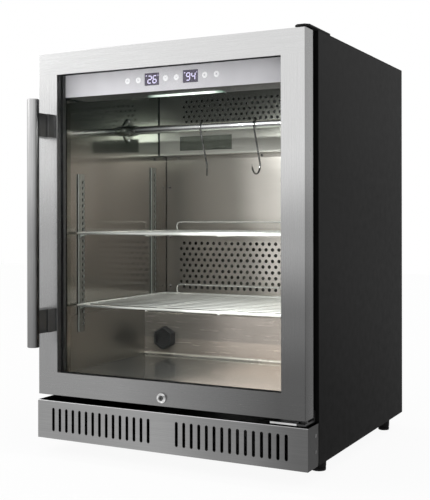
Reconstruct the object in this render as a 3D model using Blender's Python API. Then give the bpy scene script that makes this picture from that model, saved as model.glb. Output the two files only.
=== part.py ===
"""Undercounter dry aging cabinet with a glass door, feet on z = 0 and its middle on the Z axis.

Lengths are metres. X is the width, Y runs from the handle (-Y) to the back, Z is up.
"""
import math

import bmesh
import bpy
from mathutils import Vector

for old_object in list(bpy.data.objects):
    bpy.data.objects.remove(old_object, do_unlink=True)

# Clearances
seat_gap = 0.0003
running_gap = 0.0005
cut_overrun = 0.006

# Cabinet shell
cabinet_width = 0.595
cabinet_height = 0.788
cabinet_depth = 0.5275
foot_height = 0.030
outer_sheet = 0.001
sheet_return = 0.012
pan_rim_height = 0.020
frame_depth = 0.012
rear_flange_height = 0.018

# Insulated walls and lined interior
side_wall = 0.0355
liner_sheet = 0.001
floor_above_base = 0.1264
ceiling_wall = 0.038
rear_wall = 0.040
machine_wall = 0.035
cooling_space_depth = 0.081
cover_proud = 0.035
machine_room_depth = 0.189
hump_height = 0.1016
cover_height = 0.150

# Perforations in the air wall and the evaporator cover
wall_hole_diameter = 0.0078
wall_hole_pitch = 0.0163
wall_row_pitch = 0.0134
wall_row_count = 9
wall_first_row_above_hump = 0.159
wall_field_margin = 0.0405
cover_hole_diameter = 0.0065
cover_hole_pitch = 0.0140
cover_row_pitch = 0.0118
cover_row_count = 5
cover_first_row_drop = 0.0235
cover_field_margin = 0.0695
outlet_from_side = 0.0584
outlet_width = 0.140
outlet_height = 0.034
outlet_sill = 0.010
hole_sides = 4

# Door
door_side_margin = 0.0045
door_below_lid = 0.003
door_above_base = 0.0895
door_thickness = 0.040
door_to_cabinet = 0.0145
door_face_width = 0.0467
door_sheet = 0.0012
door_edge_bevel = 0.0008
door_return_depth = 0.038
jamb_front_step = 0.001
jamb_flare = 0.0065
glass_thickness = 0.004
glass_cover_width = 0.012
glass_air_space = 0.012
spacer_width = 0.008
gasket_width = 0.012
gasket_side_inset = 0.006
gasket_end_inset = 0.001
gasket_waist = 0.0025

# Hinges
hinge_from_side = 0.0145
hinge_from_front = 0.020
hinge_pin_radius = 0.004
hinge_pin_length = 0.014
hinge_collar_radius = 0.007
hinge_top_plate = 0.003
top_hinge_width = 0.028
top_hinge_reach = 0.060
top_hinge_overhang = 0.015
bottom_hinge_width = 0.068
bottom_hinge_arm = 0.004
bottom_hinge_drop = 0.0065
bottom_hinge_flange = 0.003
bottom_hinge_flange_height = 0.020
bottom_hinge_setback = 0.006

# Handle
handle_radius = 0.012
handle_standoff = 0.050
handle_top_below_door = 0.100
handle_bottom_above_door = 0.102
handle_from_side = 0.026
handle_end_bevel = 0.002
bracket_half_width = 0.016
bracket_height = 0.0465
bracket_end_offset = 0.0275
bracket_past_centre = 0.002
bracket_joint_from_door = 0.023
bracket_joint_groove = 0.0012
bracket_groove_depth = 0.0008

# Door lock
lock_above_door_bottom = 0.0165
lock_ring_radius = 0.010
lock_ring_height = 0.005
lock_barrel_radius = 0.0064
lock_plug_radius = 0.0045
lock_plug_proud = 0.0006
lock_tongue_length = 0.024
lock_tongue_width = 0.010
lock_tongue_thickness = 0.003
lock_tongue_gap = 0.0013
keyway_width = 0.0014
keyway_height = 0.0055
keyway_depth = 0.004

# Kick plate
kick_height = 0.0771
kick_sheet = 0.0012
kick_setback = 0.0023
kick_hem = 0.006
slots_per_group = 15
slot_end_margin = 0.0421
slot_width = 0.005
slot_length = 0.0461
slot_above_base = 0.0161
slot_group_inner = 0.030
catch_width = 0.034
catch_top_above_kick = 0.010
catch_from_tongue = 0.0006
base_ear_height = 0.070
base_ear_length = 0.030

# Control box under the ceiling, its front in the door's recess
control_from_door_side = 0.042
control_height = 0.0464
control_top_drop = 0.0075
control_proud = 0.0195
control_box_depth = 0.077
control_corner_cut = 0.004
control_corner_run = 0.0065
fascia_thickness = 0.002
display_from_middle = 0.0432
display_width = 0.0334
display_height = 0.0246
display_recess = 0.0006
button_offsets = (0.0122, 0.0743, 0.0995)
controls_above_fascia_bottom = 0.0242
button_radius = 0.0058
button_proud = 0.0006
button_flange_radius = 0.0072
button_flange_thickness = 0.001
button_stem_radius = 0.002
button_travel = 0.0008
board_gap = 0.003
board_thickness = 0.0016
board_margin = 0.008
board_pocket_depth = 0.009
lamp_length = 0.170
lamp_width = 0.016
lamp_proud = 0.003
lamp_depth = 0.005
lamp_setback = 0.0395

# Shelf strips
strip_width = 0.020
strip_thickness = 0.004
front_strip_setback = 0.0465
rear_strip_from_air_wall = 0.066
front_strip_above_floor = 0.081
rear_strip_above_floor = 0.1085
strip_below_ceiling = 0.1811
shelf_place_shares = (0.174, 0.6266)
notch_pitch = 0.0125
notch_height = 0.005
notch_depth = 0.006
clip_width = 0.010
clip_length = 0.011
clip_thickness = 0.004
clip_root_height = 0.008

# Wire shelves
shelf_rod_radius = 0.003
shelf_wire_radius = 0.002
shelf_brace_radius = 0.0024
shelf_front_setback = 0.0205
shelf_to_air_wall = 0.024
shelf_wire_count = 16
shelf_brace_offset = 0.082
lip_height = 0.022
lip_from_side = 0.036
lip_corner_radius = 0.008
lip_radius = 0.002

# Hanging rod and hooks
rod_radius = 0.009
rod_setback = 0.2325
rod_below_ceiling = 0.1012
rod_flange_half = 0.031
rod_flange_thickness = 0.003
rod_socket_radius = 0.0115
rod_socket_length = 0.026
hook_wire_radius = 0.0019
hook_top_radius = 0.0125
hook_bottom_radius = 0.0205
hook_drop = 0.106
left_hook_place = -0.066
right_hook_place = 0.064
left_hook_twist = math.radians(-28)
hook_arc_steps = 9

# Filter cap on the hump
filter_from_side = 0.0605
filter_above_floor = 0.042
filter_radius = 0.027
filter_proud = 0.020
filter_rim_bevel = 0.002

# Feet
front_foot_radius = 0.015
rear_foot_radius = 0.013
foot_taper = 0.001
foot_edge = 0.001
foot_stud_radius = 0.004
foot_stud_rise = 0.010
front_foot_from_side = 0.032
rear_foot_from_side = 0.0243
front_foot_from_front = 0.080
rear_foot_from_back = 0.064
foot_boss_radius = 0.009
foot_boss_height = 0.008

# Cooling unit
evaporator_fan_room = 0.204
evaporator_depth = 0.055
evaporator_height = 0.110
evaporator_fin_count = 16
fin_share = 0.45
fin_core_share = 0.4
evaporator_right_margin = 0.020
evaporator_lift = 0.020
fan_hub_radius = 0.016
fan_root_share = 0.8
fan_blade_shares = ((0.30, 0.62), (0.36, 0.38))
fan_blade_count = 5
fan_blade_thickness = 0.002
fan_depth = 0.018
evaporator_fan_radius = 0.046
condenser_fan_rim = 0.009
fan_motor_radius = 0.022
fan_motor_length = 0.024
fan_motor_arm = 0.012
motor_foot_half = 0.004
condenser_width = 0.050
condenser_from_front = 0.0205
condenser_height = 0.150
condenser_fin_count = 12
condenser_from_side = 0.070
condenser_from_back = 0.0175
shroud_thickness = 0.003
shroud_clearance = 0.004
compressor_radius = 0.062
compressor_height = 0.150
compressor_from_side = 0.150
compressor_plate = 0.003
compressor_plate_margin = 0.010
compressor_seam = 0.004
compressor_profile_shares = ((0, 0, 0), (0.6, 0, 0), (0.95, 0.14, 0), (1, 0.3, 0), (1, 0.55, 0),
                             (1, 0.55, 1), (1, 0.58, 1), (1, 0.58, 0), (0.9, 0.85, 0),
                             (0.45, 1, 0), (0, 1, 0))
compressor_stub_radius = 0.004
compressor_stub_rise = 0.016
stub_place_share = 0.45
stub_root_share = 0.8
machine_lift = 0.003

# Rear vents and the power inlet
vent_rows = 8
vent_pitch = 0.015
vent_height = 0.006
vent_edge_margin = 0.0052
vent_inner = 0.070
vent_above_base = 0.050
inlet_width = 0.028
inlet_height = 0.021
inlet_flange = 0.005
inlet_flange_thickness = 0.002
inlet_plate_reach = 0.0223
inlet_plate_height = 0.050
inlet_depth = 0.022
inlet_wall = 0.002
inlet_pin_width = 0.002
inlet_pin_height = 0.004
inlet_pin_pitch = 0.007
inlet_from_side = 0.050
inlet_above_base = 0.030

# Places worked out from the sizes
handle_reach = handle_standoff + handle_radius
inlet_proud = seat_gap + inlet_flange_thickness
overall_depth = handle_reach + door_thickness + door_to_cabinet + cabinet_depth + inlet_proud
half_width = cabinet_width / 2
interior_width = cabinet_width - 2 * side_wall
half_interior = interior_width / 2
wall_field_width = interior_width - 2 * wall_field_margin
cover_field_width = interior_width - 2 * cover_field_margin
outlet_left = half_interior - outlet_from_side
door_width = cabinet_width - 2 * door_side_margin
half_door = door_width / 2
door_front = handle_reach - overall_depth / 2
door_back = door_front + door_thickness
cabinet_front = door_back + door_to_cabinet
cabinet_back = cabinet_front + cabinet_depth
frame_back = cabinet_front + frame_depth
base_bottom = foot_height
cabinet_top = base_bottom + cabinet_height
inner_half_width = half_width - outer_sheet - seat_gap
interior_floor = base_bottom + floor_above_base
interior_top = cabinet_top - ceiling_wall
liner_front = frame_back + seat_gap
liner_back = cabinet_back - rear_wall
air_wall_front = liner_back - cooling_space_depth
cover_front = air_wall_front - cover_proud
cover_bottom = interior_top - cover_height
machine_front = cabinet_back - machine_room_depth
hump_front = machine_front - machine_wall
hump_top = interior_floor + hump_height
machine_top = hump_top - machine_wall
belly = interior_floor - machine_wall
plate_half_width = half_interior - seat_gap
door_bottom = base_bottom + door_above_base
door_height = cabinet_height - door_above_base - door_below_lid
handle_length = door_height - handle_bottom_above_door - handle_top_below_door
door_top = door_bottom + door_height
door_middle_height = (door_bottom + door_top) / 2
half_door_height = door_height / 2
hinge_x = half_width - hinge_from_side
hinge_y = door_front + hinge_from_front
kick_front = door_front + kick_setback
kick_top = base_bottom + kick_height
slot_pitch = (half_width - slot_end_margin - slot_group_inner) / (slots_per_group - 1)
pan_half_width = half_width - kick_sheet - seat_gap
pan_floor_top = base_bottom + outer_sheet
machine_floor = pan_floor_top + machine_lift
strip_length = interior_top - strip_below_ceiling - interior_floor - rear_strip_above_floor
strip_face = half_interior - seat_gap - strip_thickness
control_width = door_width - 2 * control_from_door_side
control_front = cabinet_front - control_proud
control_bottom = interior_top - control_top_drop - control_height
control_back = control_front + control_box_depth
fascia_back = control_front + fascia_thickness
board_front = fascia_back + board_gap
controls_height = control_bottom + controls_above_fascia_bottom
rod_y = cabinet_front + rod_setback
rod_z = interior_top - rod_below_ceiling
lock_height = door_bottom + lock_above_door_bottom
tongue_front = door_back + lock_tongue_gap
shelf_half_width = strip_face - running_gap - shelf_rod_radius
shelf_front = cabinet_front + shelf_front_setback
shelf_depth = air_wall_front - shelf_to_air_wall - shelf_front
condenser_depth = machine_room_depth - outer_sheet - condenser_from_back - condenser_from_front
condenser_fan_room = min(condenser_depth, condenser_height) / 2 - shroud_clearance
condenser_fan_radius = condenser_fan_room - condenser_fan_rim
evaporator_length = interior_width - evaporator_fan_room - evaporator_right_margin
inlet_x = inlet_from_side - half_width
inlet_plate_edge = inlet_x + inlet_plate_reach
vent_outer = -inlet_plate_edge - vent_edge_margin


def material(name, colour, roughness, metallic, alpha=1.0):
    """A Principled material with the finish of one piece."""
    made = bpy.data.materials.new(name)
    made.use_nodes = True
    shader = made.node_tree.nodes["Principled BSDF"]
    shader.inputs["Base Color"].default_value = (*colour, 1.0)
    shader.inputs["Roughness"].default_value = roughness
    shader.inputs["Metallic"].default_value = metallic
    shader.inputs["Alpha"].default_value = alpha
    made.diffuse_color = (*colour, alpha)
    return made


brushed_steel = material("brushed_steel", (0.55, 0.55, 0.56), 0.32, 1.0)
liner_steel = material("liner_steel", (0.38, 0.37, 0.35), 0.28, 1.0)
black_steel = material("black_painted_steel", (0.02, 0.02, 0.022), 0.5, 0.0)
zinc_steel = material("zinc_plated_steel", (0.5, 0.5, 0.5), 0.45, 1.0)
chrome = material("chrome_wire", (0.75, 0.76, 0.76), 0.12, 1.0)
black_plastic = material("black_plastic", (0.015, 0.015, 0.016), 0.45, 0.0)
silver_plastic = material("silver_plastic", (0.6, 0.6, 0.61), 0.35, 0.2)
white_plastic = material("white_plastic", (0.8, 0.8, 0.78), 0.4, 0.0)
display_black = material("display_window", (0.08, 0.06, 0.1), 0.2, 0.0)
clear_glass = material("clear_glass", (0.85, 0.9, 0.88), 0.02, 0.0, 0.25)
black_rubber = material("black_rubber", (0.02, 0.02, 0.02), 0.7, 0.0)
foam = material("polyurethane_foam", (0.75, 0.68, 0.45), 0.9, 0.0)
aluminium_fin = material("aluminium_fin", (0.7, 0.71, 0.72), 0.4, 1.0)


def finished(name, mesh_builder, finish, smooth=False):
    """Turn a bmesh into a named object with its faces pointing out."""
    bmesh.ops.recalc_face_normals(mesh_builder, faces=mesh_builder.faces)
    mesh = bpy.data.meshes.new(name)
    mesh_builder.to_mesh(mesh)
    mesh_builder.free()
    if smooth:
        mesh.shade_smooth()
        mesh.set_sharp_from_angle(angle=math.radians(35))
    piece = bpy.data.objects.new(name, mesh)
    bpy.context.collection.objects.link(piece)
    if finish is not None:
        mesh.materials.append(finish)
    return piece


def add_loft(builder, loops, ring):
    """Join closed loops of points in turn, as a ring or as a body with flat ends."""
    made = [[builder.verts.new(point) for point in loop] for loop in loops]
    count = len(loops[0])
    pairs = list(zip(made, made[1:]))
    if ring:
        pairs.append((made[-1], made[0]))
    for first, second in pairs:
        for k in range(count):
            n = (k + 1) % count
            builder.faces.new((first[k], first[n], second[n], second[k]))
    if not ring:
        builder.faces.new(made[0])
        builder.faces.new(list(reversed(made[-1])))


def loft(name, loops, finish, ring=False, smooth=False):
    builder = bmesh.new()
    add_loft(builder, loops, ring)
    return finished(name, builder, finish, smooth)


def lay_out(axis, level, outline):
    """Put a flat outline in space: the axis it faces along gets the level."""
    if axis == "X":
        return [(level, a, b) for a, b in outline]
    if axis == "Y":
        return [(a, level, b) for a, b in outline]
    return [(a, b, level) for a, b in outline]


def prism(name, axis, outline, start, end, finish, smooth=False):
    loops = [lay_out(axis, start, outline), lay_out(axis, end, outline)]
    return loft(name, loops, finish, smooth=smooth)


def rectangle(left, right, low, high):
    return [(left, low), (right, low), (right, high), (left, high)]


def box(name, xs, ys, zs, finish):
    return prism(name, "Z", rectangle(*xs, *ys), *zs, finish)


def arc(centre, radius, first, last, steps):
    """Points on an arc from one angle to another, both ends included."""
    angles = [first + (last - first) * k / steps for k in range(steps + 1)]
    return [(centre[0] + radius * math.cos(a), centre[1] + radius * math.sin(a)) for a in angles]


def polygon(centre, radius, sides, turn=0.0):
    return arc(centre, radius, turn, turn + math.tau * (sides - 1) / sides, sides - 1)


def around(radius, clearance, sides):
    """Corner radius of a polygon bore that clears a round piece."""
    return (radius + clearance) / math.cos(math.pi / sides)


def revolve(name, axis, profile, centre, sides, finish, ring=False, smooth=True):
    """Turn a profile of (radius, height) points; a radius of zero closes on the axis."""
    builder = bmesh.new()
    rows = []
    for radius, height in profile:
        if radius == 0:
            points = lay_out(axis, height, [(0, 0)])
        else:
            points = lay_out(axis, height, polygon((0, 0), radius, sides))
        rows.append([builder.verts.new(Vector(point) + Vector(centre)) for point in points])
    pairs = list(zip(rows, rows[1:]))
    if ring:
        pairs.append((rows[-1], rows[0]))
    for first, second in pairs:
        for k in range(sides):
            n = (k + 1) % sides
            corners = [first[k % len(first)], first[n % len(first)]]
            corners += [second[n % len(second)], second[k % len(second)]]
            kept = [v for i, v in enumerate(corners) if v not in corners[:i]]
            builder.faces.new(kept)
    return finished(name, builder, finish, smooth)


def pierced_sheet(name, axis, outline, holes, level, thickness, finish):
    """A flat sheet with holes, filled once and given its thickness along the axis."""
    builder = bmesh.new()
    for loop in [outline, *holes]:
        corners = [builder.verts.new(point) for point in lay_out(axis, level, loop)]
        for first, second in zip(corners, corners[1:] + corners[:1]):
            builder.edges.new((first, second))
    bmesh.ops.triangle_fill(builder, use_beauty=True, use_dissolve=False, edges=builder.edges)
    shift = Vector(lay_out(axis, thickness, [(0, 0)])[0])
    front_faces = list(builder.faces)
    rim = [edge for edge in builder.edges if len(edge.link_faces) == 1]
    raised = {corner: builder.verts.new(corner.co + shift) for corner in list(builder.verts)}
    for face in front_faces:
        builder.faces.new([raised[corner] for corner in reversed(face.verts)])
    for edge in rim:
        first, second = edge.verts
        builder.faces.new((first, second, raised[second], raised[first]))
    return finished(name, builder, finish)


def rectangular_ring(name, axis, profile, half_a, half_b, centre, finish, smooth=False):
    """Sweep a profile of (outward offset, level) points round a rectangle with mitred corners."""
    corner_signs = [(-1, -1), (1, -1), (1, 1), (-1, 1)]
    loops = []
    for offset, level in profile:
        outline = [(centre[0] + a * (half_a + offset), centre[1] + b * (half_b + offset))
                   for a, b in corner_signs]
        loops.append(lay_out(axis, level, outline))
    return loft(name, loops, finish, ring=True, smooth=smooth)


def frame_plate(name, outer, inner, front, back, finish):
    """A flat frame between an outer and an inner rectangle in the XZ plane."""
    loops = [lay_out("Y", front, rectangle(*outer)), lay_out("Y", back, rectangle(*outer)),
             lay_out("Y", back, rectangle(*inner)), lay_out("Y", front, rectangle(*inner))]
    return loft(name, loops, finish, ring=True)


def hide(tool):
    tool.hide_render = True
    tool.display_type = "WIRE"
    return tool


def cut(piece, tool):
    step = piece.modifiers.new("cut", "BOOLEAN")
    step.operation = "DIFFERENCE"
    step.object = hide(tool)


def fuse(piece, tool):
    step = piece.modifiers.new("fuse", "BOOLEAN")
    step.operation = "UNION"
    step.object = hide(tool)


def set_origin(piece, point):
    """Put a moving piece's origin on its joint axis and leave its shape in place."""
    for corner in piece.data.vertices:
        corner.co -= Vector(point)
    piece.location = point


def joint_frame(name, point, pieces):
    """An empty on a joint axis that carries the pieces that move together."""
    carrier = bpy.data.objects.new(name, None)
    carrier.location = point
    bpy.context.collection.objects.link(carrier)
    bpy.context.view_layer.update()
    for piece in pieces:
        piece.parent = carrier
        piece.matrix_parent_inverse = carrier.matrix_world.inverted()
    return carrier


def wire(name, points, radius, finish):
    """A bent wire of round section through the points, with closed ends."""
    path = bpy.data.curves.new(name, "CURVE")
    path.dimensions = "3D"
    path.bevel_depth = radius
    path.bevel_resolution = 1
    path.use_fill_caps = True
    run = path.splines.new("POLY")
    run.points.add(len(points) - 1)
    for place, point in zip(run.points, points):
        place.co = (*point, 1.0)
    piece = bpy.data.objects.new(name, path)
    bpy.context.collection.objects.link(piece)
    path.materials.append(finish)
    return piece


def bar(name, start, end, radius, sides, finish, builder=None):
    """A straight round bar between two points, or several gathered in one builder."""
    own = builder is None
    builder = bmesh.new() if own else builder
    run = Vector(end) - Vector(start)
    turn = run.to_track_quat("Z", "Y")
    loops = [[Vector(point) + turn @ Vector((a, b, 0)) for a, b in polygon((0, 0), radius, sides)]
             for point in (start, end)]
    add_loft(builder, loops, False)
    return finished(name, builder, finish, smooth=True) if own else None


def outer_panels():
    """Side sheets with a return at the front and back, and a folded lid."""
    bottom = base_bottom
    for name, side in (("side_panel_left", -1), ("side_panel_right", 1)):
        outside = side * half_width
        inside = side * (half_width - outer_sheet)
        lip = side * (half_width - sheet_return)
        rear_inner = cabinet_back - outer_sheet
        outline = [(outside, frame_back - frame_depth), (outside, cabinet_back),
                   (lip, cabinet_back), (lip, rear_inner), (inside, rear_inner),
                   (inside, frame_back - frame_depth)]
        prism(name, "Z", outline, bottom, cabinet_top - outer_sheet - seat_gap, black_steel)
    back_edge = cabinet_back - outer_sheet - seat_gap
    lid = box("top_panel", (-half_width, half_width), (cabinet_front, cabinet_back),
              (cabinet_top - outer_sheet, cabinet_top), black_steel)
    skirt_outer = inner_half_width
    skirt = rectangular_ring("lid_skirt", "Z", [
        (0, cabinet_top - sheet_return), (0, cabinet_top - outer_sheet / 2),
        (-outer_sheet, cabinet_top - outer_sheet / 2), (-outer_sheet, cabinet_top - sheet_return)],
        skirt_outer, (back_edge - liner_front) / 2, (0, (back_edge + liner_front) / 2), None)
    fuse(lid, skirt)


def back_panel():
    """Louvred rear sheet with a corner left for the plate round the power inlet."""
    edge = half_width - sheet_return - seat_gap
    low = base_bottom + pan_rim_height / 2
    high = cabinet_top - outer_sheet - seat_gap
    seam = base_bottom + inlet_plate_height
    front = cabinet_back - outer_sheet
    corner = inlet_plate_edge + seat_gap
    outline = [(corner, low), (edge, low), (edge, high), (-edge, high), (-edge, seam + seat_gap),
               (corner, seam + seat_gap)]
    holes = []
    for left, right in ((-vent_outer, -vent_inner), (vent_inner, vent_outer)):
        for row in range(vent_rows):
            start = base_bottom + vent_above_base + row * vent_pitch
            holes.append(rectangle(left, right, start, start + vent_height))
    pierced_sheet("back_panel", "Y", outline, holes, front, outer_sheet, black_steel)
    z = base_bottom + inlet_above_base
    half_w = inlet_width / 2 + seat_gap
    half_h = inlet_height / 2 + seat_gap
    frame_plate("inlet_plate", (-edge, inlet_plate_edge, low, seam),
                (inlet_x - half_w, inlet_x + half_w, z - half_h, z + half_h),
                front, cabinet_back, black_steel)


def power_inlet():
    """Appliance inlet: a flanged cup with three blades, from behind the rear sheet."""
    x = inlet_x
    z = base_bottom + inlet_above_base
    half_w = inlet_width / 2
    half_h = inlet_height / 2
    face = cabinet_back + inlet_proud
    cup = box("power_inlet", (x - half_w, x + half_w), (face - inlet_depth, face),
              (z - half_h, z + half_h), black_plastic)
    collar = box("inlet_collar", (x - half_w - inlet_flange, x + half_w + inlet_flange),
                 (cabinet_back + seat_gap, face - seat_gap),
                 (z - half_h - inlet_flange, z + half_h + inlet_flange), None)
    fuse(cup, collar)
    hollow = box("inlet_hollow", (x - half_w + inlet_wall, x + half_w - inlet_wall),
                 (face - inlet_depth + inlet_wall, face + cut_overrun),
                 (z - half_h + inlet_wall, z + half_h - inlet_wall), None)
    cut(cup, hollow)
    blades = bmesh.new()
    for k in (-1, 0, 1):
        middle = x + k * inlet_pin_pitch
        outline = rectangle(middle - inlet_pin_width / 2, middle + inlet_pin_width / 2,
                            z - inlet_pin_height / 2, z + inlet_pin_height / 2)
        start = face - inlet_depth + inlet_wall / 2
        add_loft(blades, [lay_out("Y", start, outline),
                          lay_out("Y", face - inlet_wall, outline)], False)
    fuse(cup, finished("inlet_blades", blades, None))


def foot_places():
    """Name, place and radius of each foot."""
    front = cabinet_front + front_foot_from_front
    rear = cabinet_back - rear_foot_from_back
    front_x = half_width - front_foot_from_side
    rear_x = half_width - rear_foot_from_side
    return [("foot_front_left", -front_x, front, front_foot_radius),
            ("foot_front_right", front_x, front, front_foot_radius),
            ("foot_rear_left", -rear_x, rear, rear_foot_radius),
            ("foot_rear_right", rear_x, rear, rear_foot_radius)]


def base_pan():
    """Folded tray under the machine room, with ears for the kick plate and bored foot bosses."""
    front = kick_front + kick_sheet + seat_gap
    rear = cabinet_back - outer_sheet - seat_gap
    ear_end = cabinet_front + base_ear_length
    pan = box("base_pan", (-pan_half_width, pan_half_width), (front, rear),
              (base_bottom, pan_floor_top), zinc_steel)
    rims = bmesh.new()
    low = base_bottom + outer_sheet / 2
    for side in (-1, 1):
        rim = sorted((side * pan_half_width, side * (pan_half_width - outer_sheet)))
        add_loft(rims, [lay_out("Z", low, rectangle(*rim, front, ear_end)),
                        lay_out("Z", base_bottom + base_ear_height,
                                rectangle(*rim, front, ear_end))], False)
        add_loft(rims, [lay_out("Z", low, rectangle(*rim, ear_end + seat_gap, rear)),
                        lay_out("Z", base_bottom + pan_rim_height,
                                rectangle(*rim, ear_end + seat_gap, rear))], False)
    fuse(pan, finished("pan_side_rims", rims, None))
    back_rim = box("pan_back_rim", (-pan_half_width + outer_sheet + seat_gap,
                                    pan_half_width - outer_sheet - seat_gap),
                   (rear - outer_sheet, rear), (low, base_bottom + pan_rim_height / 2 - seat_gap),
                   None)
    fuse(pan, back_rim)
    bosses = bmesh.new()
    bores = bmesh.new()
    sides = 12
    bore_radius = around(foot_stud_radius, running_gap, sides)
    for _, x, y, _ in foot_places():
        start = (x, y, low)
        bar("boss", start, (x, y, pan_floor_top + foot_boss_height), foot_boss_radius,
            sides, None, bosses)
        bar("bore", (x, y, base_bottom - cut_overrun),
            (x, y, pan_floor_top + foot_boss_height + cut_overrun), bore_radius,
            sides, None, bores)
    fuse(pan, finished("foot_bosses", bosses, None))
    cut(pan, finished("foot_bores", bores, None))


def feet():
    for name, x, y, radius in foot_places():
        top = foot_height - seat_gap
        profile = [(0, 0), (radius - foot_taper - foot_edge, 0),
                   (radius - foot_taper, foot_edge), (radius, top), (foot_stud_radius, top),
                   (foot_stud_radius, top + foot_stud_rise), (0, top + foot_stud_rise)]
        foot = revolve(name, "Z", profile, (x, y, 0), 14, black_rubber)
        set_origin(foot, (x, y, 0))


def front_frame():
    """Black frame round the opening that the gasket seals against."""
    frame_plate("front_frame",
                (-inner_half_width, inner_half_width, kick_top + seat_gap,
                 cabinet_top - outer_sheet - seat_gap),
                (-half_interior, half_interior, interior_floor, interior_top),
                cabinet_front, frame_back, black_plastic)


def cavity_outline(front, margin):
    """Side view of the lined space, with the hump over the machine room left out."""
    out = liner_sheet + margin
    return [(front, interior_floor - out), (hump_front + out, interior_floor - out),
            (hump_front + out, hump_top - out), (liner_back + out, hump_top - out),
            (liner_back + out, interior_top + out), (front, interior_top + out)]


def insulation():
    """Foamed-in block between shell and liner, open at the front and under the hump."""
    rear = cabinet_back - outer_sheet - seat_gap
    top = cabinet_top - sheet_return - seat_gap
    outline = [(liner_front, belly), (machine_front, belly), (machine_front, machine_top),
               (rear, machine_top), (rear, top), (liner_front, top)]
    edge = inner_half_width
    block = prism("insulation", "X", outline, -edge, edge, foam)
    reach = half_interior + liner_sheet + seat_gap
    cut(block, prism("cavity", "X", cavity_outline(liner_front - cut_overrun, seat_gap),
                     -reach, reach, None))


def liner():
    """Stainless sheets that line the interior."""
    for name, side in (("liner_left", -1), ("liner_right", 1)):
        prism(name, "X", cavity_outline(liner_front, 0), side * half_interior,
              side * (half_interior + liner_sheet), liner_steel)
    wide = (-plate_half_width, plate_half_width)
    rear = liner_back - seat_gap
    step = [(liner_front, interior_floor - liner_sheet), (liner_front, interior_floor),
            (hump_front, interior_floor), (hump_front, hump_top), (rear, hump_top),
            (rear, hump_top - liner_sheet), (hump_front + liner_sheet, hump_top - liner_sheet),
            (hump_front + liner_sheet, interior_floor - liner_sheet)]
    prism("liner_floor", "X", step, *wide, liner_steel)
    roof = [(liner_front, interior_top), (liner_back, interior_top),
            (liner_back, hump_top), (liner_back + liner_sheet, hump_top),
            (liner_back + liner_sheet, interior_top + liner_sheet),
            (liner_front, interior_top + liner_sheet)]
    prism("liner_roof_and_back", "X", roof, *wide, liner_steel)


def staggered_holes(field_width, pitch, row_pitch, row_count, first_row, radius):
    """Rows of holes, every other row moved half a pitch, inside a field of the given width."""
    holes = []
    for row in range(row_count):
        short = row % 2 == 0
        usable = field_width - pitch if short else field_width
        count = int(round(usable / pitch)) + 1
        for k in range(count):
            place = ((k - (count - 1) / 2) * pitch, first_row - row * row_pitch)
            holes.append(polygon(place, radius, hole_sides))
    return holes


def air_wall():
    """Perforated false back that the cooled air passes through."""
    outline = rectangle(-plate_half_width, plate_half_width, hump_top + seat_gap,
                        cover_bottom - seat_gap)
    holes = staggered_holes(wall_field_width, wall_hole_pitch, wall_row_pitch, wall_row_count,
                            hump_top + wall_first_row_above_hump, wall_hole_diameter / 2)
    pierced_sheet("air_wall", "Y", outline, holes, air_wall_front, liner_sheet, liner_steel)


def evaporator_cover():
    """Folded cover under the ceiling: perforated front with an air outlet, and a bottom."""
    high = interior_top - seat_gap
    outline = rectangle(-plate_half_width, plate_half_width, cover_bottom, high)
    holes = staggered_holes(cover_field_width, cover_hole_pitch, cover_row_pitch,
                            cover_row_count, interior_top - cover_first_row_drop,
                            cover_hole_diameter / 2)
    sill = cover_bottom + outlet_sill
    holes.append(rectangle(-outlet_left, outlet_width - outlet_left, sill, sill + outlet_height))
    cover = pierced_sheet("evaporator_cover", "Y", outline, holes, cover_front, liner_sheet,
                          liner_steel)
    bottom = box("cover_bottom", (-plate_half_width, plate_half_width),
                 (cover_front + liner_sheet / 2, air_wall_front + liner_sheet),
                 (cover_bottom, cover_bottom + liner_sheet), None)
    fuse(cover, bottom)


def control_outline(front, back):
    """Top view of the control box, its front corner cut on the hinge side."""
    half = control_width / 2
    return [(-half, front), (half - control_corner_cut, front),
            (half, front + control_corner_run), (half, back), (-half, back)]


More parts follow.
